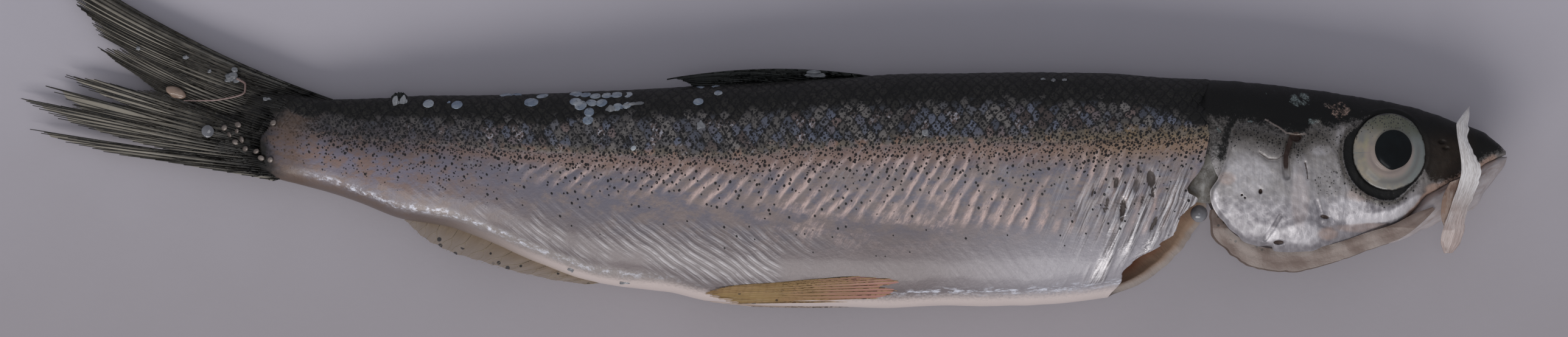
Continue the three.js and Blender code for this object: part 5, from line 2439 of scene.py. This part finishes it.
@dataclass(frozen=True)
class Fin:
    """A thin web stretched between a root line and a free edge, with bony rays that fork towards the edge."""

    name: str
    node: str
    slot: Slot
    root: Points
    edge: Points
    rays: int
    lift: Field
    web_material: str
    ray_material: str
    thickness: float = 0.16
    ray_radius: float = 0.11
    sag: float = 0.0
    forks: tuple[float, ...] = (0.38, 0.7)
    spread: float = 0.3
    ripple: float = 0.05
    web_reach: float = 0.97
    rows: int = 26
    columns_for_ray: int = 6
    buried: float = 0.0
    tuck: float = 0.0

    def surface(self, across: Array, out: Array) -> Array:
        """Places on the fin.

        Args:
            across: From the first ray at 0 to the last at 1.
            out: From the root at 0 to the free edge at 1.

        Returns:
            Rows of (x, y, z).
        """
        foot = straight(self.root, across)
        tip = straight(self.edge, across)
        line = tip - foot
        flat = foot + line * out[..., None]
        side = np.stack([-line[..., 1], line[..., 0]], axis=-1)
        flat = flat + side * (self.sag * 4 * out * (1 - out))[..., None]
        z = self.lift(flat[..., 0], flat[..., 1])
        z = z + self.ripple * np.cos(across * self.rays * 2 * math.pi) * rise(out, 0.0, 0.3)
        shown = out + Grain(94)(across * 9.0, 0 * out) * 0.05
        z = (
            z + Grain(91)(across * 7.0, out * 2.0) * self.ripple * 2
            - self.buried * (1 - rise(shown, 0.0, 0.2))
        )
        z = z - self.tuck * (1 - rise(np.minimum(across, 1 - across), 0.0, 0.16))
        return np.stack([flat[..., 0], flat[..., 1], z], axis=-1)

    def build_web(self, chart: Chart, finishes: Finishes) -> None:
        """Makes the thin skin between the rays.

        Args:
            chart: Turns the places into metres.
            finishes: The fish's materials.
        """
        across = np.linspace(0, 1, self.rays * self.columns_for_ray)[None, :]
        between = np.abs(np.sin(across * (self.rays - 1) * math.pi))
        torn = Grain(92)(across * self.rays * 1.7, 0 * across) * 0.025
        reach = self.web_reach - 0.05 * between + torn
        out = np.linspace(0, 1, self.rows)[:, None] * reach
        across = across + 0 * out
        top = self.surface(across, out)
        top[..., 2] += self.thickness * 0.5
        span = np.stack([out, across, 0 * out], axis=-1)
        taper = self.thickness * (1 - 0.65 * out)
        shape = slab(rest(top, self.thickness + 0.02), taper, {"span": span})
        piece = shape.build(self.name + "_web", [finishes[self.web_material]], chart, 60)
        install(piece, self.slot, self.node)

    def strands(self) -> list[tuple[Array, Array]]:
        """The rays' paths with a radius at each place."""
        made = []
        step = 1 / (self.rays - 1)
        jitter = np.random.default_rng(93)
        for k in range(self.rays):
            middle = k * step
            ends = [(0.0, 0.0)]
            for level, fork in enumerate(self.forks):
                gap = self.spread * step / 2 ** level
                ends = [(fork, offset + sign * gap) for _, offset in ends for sign in (-1, 1)]
            shift = float(jitter.uniform(-0.1, 0.1)) * step
            for _, offset in ends:
                out = np.linspace(0, 1 - 0.03 * float(jitter.uniform(0, 1)), 22)
                grown = np.zeros_like(out)
                left = offset
                for level, fork in enumerate(self.forks):
                    gap = self.spread * step / 2 ** level
                    sign = 1.0 if left > 0 else -1.0
                    left = left - sign * gap
                    grown = grown + sign * gap * rise(out, fork - 0.04, min(fork + 0.3, 1.0))
                across = np.clip(middle + shift + grown, 0, 1)
                path = self.surface(across, out)
                path[:, 2] += self.thickness * 0.5
                thin = 1 - 0.62 * out
                radius = self.ray_radius * thin
                made.append((rest(path, self.ray_radius + 0.02), radius))
        return made

    def build(self, chart: Chart, finishes: Finishes) -> None:
        """Makes the web and the rays.

        Args:
            chart: Turns the places into metres.
            finishes: The fish's materials.
        """
        self.build_web(chart, finishes)
        rays = RayBundle()
        piece = rays.build(self.name + "_rays", self.strands(), chart, finishes[self.ray_material])
        install(piece, self.slot, self.node)


def in_middle(x: Array, y: Array) -> Array:
    """The fish's middle plane."""
    return MIDDLE(x) + 0 * y


def on_right_flank(x: Array, y: Array) -> Array:
    """Just over the skin near the belly's edge."""
    return TRUNK_FORM.height(x, np.maximum(y, WHOLE_BELLY(x) + 0.45)) + 0.12


def under_belly(x: Array, y: Array) -> Array:
    """Just under the middle plane, outside the belly's edge."""
    return MIDDLE(x) - 1.1 + 0.4 * (y + 12.5)


def over_tail_root(x: Array, y: Array) -> Array:
    """The tail lies over the trunk's end and comes down from there to the middle plane."""
    inside = np.clip(x, -2.3, 80.0)
    flank = TRUNK_FORM.height(inside, y) - MIDDLE(inside)
    return MIDDLE(x) + flank * rise(x, -7.0, -1.4)


FINS = (
    Fin(
        "tail_upper_lobe", "tail_fin", Slot.DARK_FIN,
        ((5.2, 3.75), (3.8, 3.6), (2.4, 3.1), (1.2, 2.4), (0.2, 1.7), (-0.4, 1.0)),
        (
            (-17.9, 15.6), (-17.3, 13.5), (-15.8, 11.6), (-14.6, 10.4), (-13.9, 9.1), (-12.8, 8.5),
            (-11.5, 7.9), (-14.0, 8.1), (-12.5, 6.9), (-11.1, 6.0), (-9.3, 4.6),
        ),
        24, over_tail_root, "tail_web", "tail_ray", 0.18, 0.08, 0.035, ripple=0.03, web_reach=0.98,
        buried=0.25,
    ),
    Fin(
        "tail_lower_lobe", "tail_fin", Slot.DARK_FIN,
        ((-0.4, 1.3), (-0.7, 0.5), (-0.7, -0.3), (-0.5, -1.0), (0.0, -1.8), (0.9, -2.6)),
        (
            (-9.3, 4.6), (-11.1, 4.6), (-13.9, 5.4), (-17.0, 5.9), (-15.2, 4.8), (-11.6, 3.3), (-15.8, 4.2),
            (-18.7, 5.1), (-16.2, 3.5), (-15.3, 3.0), (-18.1, 3.5), (-20.7, 4.0), (-18.8, 3.1), (-17.1, 2.2),
            (-14.6, 1.4), (-11.1, 0.4), (-8.3, -0.3), (-12.9, 0.1), (-16.4, 0.7), (-19.8, 1.45), (-16.4, 0.3),
            (-12.8, -0.6), (-9.3, -1.1), (-5.8, -1.7), (-2.3, -2.3), (0.3, -2.8),
        ),
        24, over_tail_root, "tail_web", "tail_ray", 0.18, 0.08, 0.0, ripple=0.03, web_reach=0.98, buried=0.25,
    ),
    Fin(
        "dorsal_fin", "dorsal_fin", Slot.DARK_FIN,
        ((49.8, 5.4), (46.8, 5.2), (43.8, 5.0), (40.6, 4.8), (37.3, 4.6)),
        ((32.0, 5.35), (32.7, 5.5), (33.2, 5.4), (33.8, 5.2), (34.4, 4.8)), 13, in_middle, "dorsal_web",
        "dorsal_ray", 0.3, 0.13, -0.045,
    ),
    Fin(
        "anal_fin", "anal_fin", Slot.PALE_FIN,
        ((27.6, -10.9), (24.6, -9.9), (21.8, -8.9), (17.1, -6.9), (13.6, -5.7), (11.5, -5.2)),
        (
            (25.5, -11.15), (22.7, -10.8), (19.9, -10.2), (17.1, -9.4), (14.3, -8.5), (12.3, -7.4),
            (11.0, -6.0),
        ),
        14, in_middle, "anal_web", "anal_ray", 0.18, 0.03, 0.03, (0.5,), ripple=0.012,
    ),
    Fin(
        "pelvic_fin_right", "pelvic_fin_right", Slot.PALE_FIN,
        ((49.2, -10.2), (52.2, -10.6), (52.6, -11.5), (50.4, -12.5)),
        ((37.9, -11.15), (36.2, -11.5), (35.0, -11.9), (37.6, -12.7)), 11, on_right_flank, "pelvic_web",
        "pelvic_ray", 0.12, 0.045, 0.0, ripple=0.02, buried=0.45, tuck=0.22,
    ),
    Fin(
        "pelvic_fin_left", "pelvic_fin_left", Slot.PALE_FIN,
        ((49.4, -12.9), (49.5, -12.6), (49.4, -12.3), (49.2, -12.0)),
        ((38.9, -12.95), (35.8, -12.6), (34.0, -12.2), (34.2, -11.6)), 9, under_belly, "under_web",
        "under_ray", 0.16, 0.06, 0.01, ripple=0.015,
    ),
    Fin(
        "adipose_fin", "adipose_fin", Slot.DARK_FIN, ((11.5, 3.7), (10.9, 3.4), (10.3, 3.3), (9.6, 3.2)),
        ((10.9, 4.35), (10.6, 4.4), (10.2, 4.35), (9.7, 3.7)), 6, in_middle, "dorsal_web", "dorsal_ray", 0.4,
        0.12, 0.0, (), 0.3, 0.02, 1.0, 14,
    ),
)


# ---------------------------------------------------------------- loose things on the skin


@dataclass
class LooseScales:
    """Scales that came off and stuck to the skin again."""

    chart: Chart
    scale_size: tuple[float, float, float] = (0.52, 0.46, 0.05)
    bead_size: tuple[float, float, float] = (0.32, 0.25, 0.12)
    small_size: tuple[float, float, float] = (0.26, 0.18, 0.04)
    spots: Points = (
        (19.2, 4.05), (20.0, 4.1), (22.2, 4.05), (24.9, 4.2), (24.9, 3.6), (25.7, 4.15), (26.5, 4.05),
        (21.3, 3.55), (25.3, 3.3), (26.2, 3.5), (27.0, 3.5), (27.4, 4.1), (28.2, 4.15), (29.2, 4.15),
        (26.0, 2.75), (25.9, 2.1), (29.0, 3.3), (28.3, 3.15), (34.8, 3.6), (36.4, 4.3), (34.9, 4.7),
        (36.2, 4.75), (13.0, 3.45), (14.6, 3.4), (15.3, 3.35),
    )
    beads: Points = (
        (-3.6, 1.5), (-3.2, 0.95), (-2.6, 1.25), (-2.2, 0.55), (-2.7, 0.35), (-1.9, -0.2), (-1.0, -0.4),
        (-0.6, -0.95), (0.15, -1.1), (-2.5, 1.75), (0.4, 1.9),
    )
    pearls: Points = ((29.6, -0.15), (31.0, -0.2))
    smears: tuple[tuple[float, float, float, float], ...] = (
        (10.4, 3.5, 0.28, 0.42), (11.0, 3.55, 0.3, 0.5), (29.6, 3.3, 0.7, 0.26), (27.7, 2.9, 0.36, 0.3),
        (44.1, 5.8, 0.9, 0.26), (62.6, 5.4, 0.2, 0.1), (63.4, 5.3, 0.2, 0.14), (64.3, 5.35, 0.18, 0.1),
        (53.0, 1.1, 0.3, 0.24), (35.0, 1.6, 0.3, 0.4), (0.0, 3.75, 0.42, 0.2), (24.6, -9.95, 0.3, 0.22),
        (28.9, -11.0, 0.45, 0.16),
    )

    def lay(self, name: str, spots: Points, sizes: tuple[float, float, float], material: Material) -> None:
        """Lays one kind of scale on the trunk.

        Args:
            name: The piece's name.
            spots: Where the scales lie.
            sizes: Their half length, half width and half height.
            material: Their finish.
        """
        chance = np.random.default_rng(101)
        x, y = np.array(spots, float).T
        inside = np.clip(x, -2.3, 75.0)
        reach = 0.05
        z = TRUNK_FORM.height(inside, y)
        slope_x = (TRUNK_FORM.height(inside + reach, y) - TRUNK_FORM.height(inside - reach, y)) / (2 * reach)
        slope_y = (TRUNK_FORM.height(inside, y + reach) - TRUNK_FORM.height(inside, y - reach)) / (2 * reach)
        turns = []
        for tilt_x, tilt_y in zip(np.clip(slope_x, -2, 2), np.clip(slope_y, -2, 2)):
            lean = Vector((0, 0, 1)).rotation_difference(Vector((-tilt_x, -tilt_y, 1)))
            spin = Quaternion((0, 0, 1), float(chance.uniform(-0.6, 0.6)))
            turns.append(tuple((lean @ spin).to_euler()))
        turns = np.array(turns)
        spread = (
            np.array(sizes) * chance.uniform(0.75, 1.15, (len(x), 1)) * chance.uniform(0.9, 1.1, (len(x), 3))
        )
        places = np.stack([x, y, z + sizes[2] * 0.5 + chance.uniform(0, 0.05, len(x))], axis=1)
        piece = ScaleScatter().build(name, places, turns, spread, self.chart, material)
        install(piece, Slot.SKIN)

    def build(self, finishes: Finishes) -> None:
        """Makes the loose scales.

        Args:
            finishes: The fish's materials.
        """
        self.lay("loose_scales", self.spots, self.scale_size, finishes["loose_scale"])
        self.lay("tail_bead_scales", self.beads, self.bead_size, finishes["bead_scale"])
        self.lay("small_scales", self.pearls, self.small_size, finishes["loose_scale"])
        for number, (x, y, long, wide) in enumerate(self.smears):
            z = max(float(TRUNK_FORM.height(np.array(x), np.array(y))) + 0.02, float(MIDDLE(x)) + 0.3)
            smear = lump(
                self.chart, f"skin_smear_{number}", (x, y, z), (long, wide, 0.1), 0.5,
                finishes["slime_smear"], 140 + number,
            )
            install(smear, Slot.SKIN)


def lump(
    chart: Chart, name: str, place: tuple[float, float, float], radii: tuple[float, float, float],
    rough: float, material: Material, seed: int = 111, turn_by: float = 0.0,
) -> bpy.types.Object:
    """A rounded lump.

    Args:
        chart: Turns it into metres.
        name: The piece's name.
        place: Its middle in hundredths.
        radii: Its half sizes in hundredths.
        rough: How uneven it is, as a part of its radius.
        material: Its finish.
        seed: Its random seed.
        turn_by: Degrees that its long side is turned by, seen from above.

    Returns:
        The piece.
    """
    tilt = np.linspace(0.06, math.pi - 0.06, 22)[:, None]
    turn = np.linspace(0, 2 * math.pi, 34, endpoint=False)[None, :]
    way = np.stack(
        [np.sin(tilt) * np.cos(turn), np.sin(tilt) * np.sin(turn), np.cos(tilt) + 0 * turn], axis=-1,
    )
    bumps = 1 + rough * Grain(seed)(way[..., 0] * 1.6 + 20, way[..., 1] * 1.6 + way[..., 2] * 1.3 + 20)
    swing = math.radians(turn_by)
    about = np.array([
        [math.cos(swing), math.sin(swing), 0], [-math.sin(swing), math.cos(swing), 0], [0, 0, 1],
    ])
    rings = np.array(place) + (way * np.array(radii) * bumps[..., None]) @ about
    return tube(rest(rings, 0.02), {}).build(name, [material], chart, 80)


@dataclass
class Remains:
    """Drops, bits of slime and a pellet that stick to the fish."""

    chart: Chart
    bits: tuple[tuple[float, float, float], ...] = (
        (-3.0, 5.7, 0.42), (-2.75, 6.15, 0.24), (-2.6, 5.35, 0.26), (-3.3, 5.4, 0.26), (-10.6, 7.95, 0.2),
        (-6.7, 7.2, 0.2), (-4.8, 6.1, 0.16), (-2.6, 1.7, 0.16),
    )

    def build(self, finishes: Finishes) -> None:
        """Makes them.

        Args:
            finishes: The fish's materials.
        """
        drop = lump(
            self.chart, "throat_drop", (75.2, -5.45, 4.6), (0.7, 0.7, 0.62), 0.03, finishes["slime_drop"],
        )
        install(drop, Slot.SKIN)
        pellet = lump(
            self.chart, "tail_pellet", (-7.55, 4.35, float(MIDDLE(-7.55)) + 0.4), (0.85, 0.42, 0.3), 0.15,
            finishes["pellet"], 111, -22,
        )
        install(pellet, Slot.SKIN)
        clear = lump(
            self.chart, "tail_clear_scale", (-4.95, 1.2, float(MIDDLE(-4.95)) + 0.45), (0.5, 0.5, 0.1), 0.08,
            finishes["slime_drop"],
        )
        install(clear, Slot.SKIN)
        for number, (x, y, size) in enumerate(self.bits):
            bit = lump(
                self.chart, f"tail_slime_{number}", (x, y, float(MIDDLE(x)) + 0.35),
                (size, size * 0.8, size * 0.5), 0.5, finishes["slime_smear"], 120 + number,
            )
            install(bit, Slot.SKIN)
        loop = along(((-2.6, 5.5), (-1.9, 5.0), (-1.95, 4.4), (-3.3, 3.9), (-4.9, 3.7), (-6.9, 3.7)), 40)
        z = MIDDLE(loop[:, :1]) + 0.42
        strand = (np.concatenate([loop, z], axis=1), np.linspace(0.1, 0.05, len(loop)))
        piece = RayBundle(sides=8).build("tail_slime_thread", [strand], self.chart, finishes["slime_thread"])
        install(piece, Slot.SKIN)


# ---------------------------------------------------------------- studio


@dataclass
class Studio:
    """The surface, the light and the camera straight above. Lengths are in metres, powers in watts."""

    chart: Chart
    height: float = 1.5
    picture_width: float = 126.6
    centre: tuple[float, float] = (41.7, -1.8)
    fish_top: float = 0.007
    sensor: float = 36.0
    room: float = 0.39
    window: float = 5.3
    ceiling: float = 1.7

    def build(self) -> None:
        """Sets everything up."""
        self.lay_table()
        self.light()
        self.aim()

    def lay_table(self) -> None:
        """The plain pale surface."""
        mesh = bpy.data.meshes.new("table_top")
        reach = 1.2
        mesh.from_pydata(
            [(-reach, -reach, 0), (reach, -reach, 0), (reach, reach, 0), (-reach, reach, 0)], [],
            [(0, 1, 2, 3)],
        )
        mesh.materials.append(TableTop().build())
        linked("table_top", mesh)

    def lamp(
        self, name: str, place: tuple[float, float, float], size: tuple[float, float], power: float,
        colour: Colour,
    ) -> None:
        """A soft rectangular light that looks at the fish.

        Args:
            name: Its name.
            place: Where it hangs, in metres.
            size: Its two sides.
            power: Its strength in watts.
            colour: Its colour.
        """
        data = bpy.data.lights.new(name, "AREA")
        data.shape = "RECTANGLE"
        data.size, data.size_y = size
        data.energy = power
        data.color = colour
        lamp = linked(name, data)
        lamp.location = place
        lamp.rotation_euler = Vector(place).to_track_quat("Z", "Y").to_euler()

    def light(self) -> None:
        """A grey room and one large window on the belly's side."""
        world = bpy.data.worlds.new("room")
        bpy.context.scene.world = world
        world.use_nodes = True
        back = world.node_tree.nodes["Background"]
        back.inputs["Color"].default_value = (0.88, 0.9, 1.0, 1)
        back.inputs["Strength"].default_value = self.room
        self.lamp("window", (-0.15, -0.75, 0.62), (0.9, 0.4), self.window, (1.0, 0.985, 0.97))
        self.lamp("ceiling", (0.1, -0.1, 1.9), (0.5, 0.5), self.ceiling, (0.97, 0.98, 1.0))
        view = bpy.context.scene.view_settings
        view.view_transform = "Standard"
        view.look = "None"

    def aim(self) -> None:
        """The camera, looking straight down."""
        data = bpy.data.cameras.new("camera")
        data.sensor_width = self.sensor
        data.lens = self.sensor * (self.height - self.fish_top) / (self.picture_width * self.chart.unit)
        camera = linked("camera", data)
        middle = self.chart.metres(np.array([[*self.centre, 0.0]]))[0]
        camera.location = (middle[0], middle[1], self.height)
        bpy.context.scene.camera = camera


# ---------------------------------------------------------------- the whole fish


def write_sizes() -> None:
    """Updates the view layer.
    """
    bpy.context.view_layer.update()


def main() -> None:
    """Builds the fish, piece by piece, and its studio."""
    logging.basicConfig(level=logging.INFO, format="%(name)s %(message)s")
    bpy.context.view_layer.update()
    chart = Chart.from_frame()
    root = chart.metres(np.array([[2.0, 0.6, 1.5]]))[0]
    finishes = make_finishes(tuple(float(v) for v in root))
    plan = HeadPlan()
    Trunk(chart).build(finishes)
    Head(chart, plan).build(finishes)
    for side in Side:
        Eye(chart, side).build(finishes)
        GillCover(chart, plan, side).build(finishes)
    Jaws(chart).build(finishes)
    for fin in FINS:
        fin.build(chart, finishes)
    LooseScales(chart).build(finishes)
    Remains(chart).build(finishes)
    Studio(chart).build()
    write_sizes()


if __name__ == "__main__":
    main()
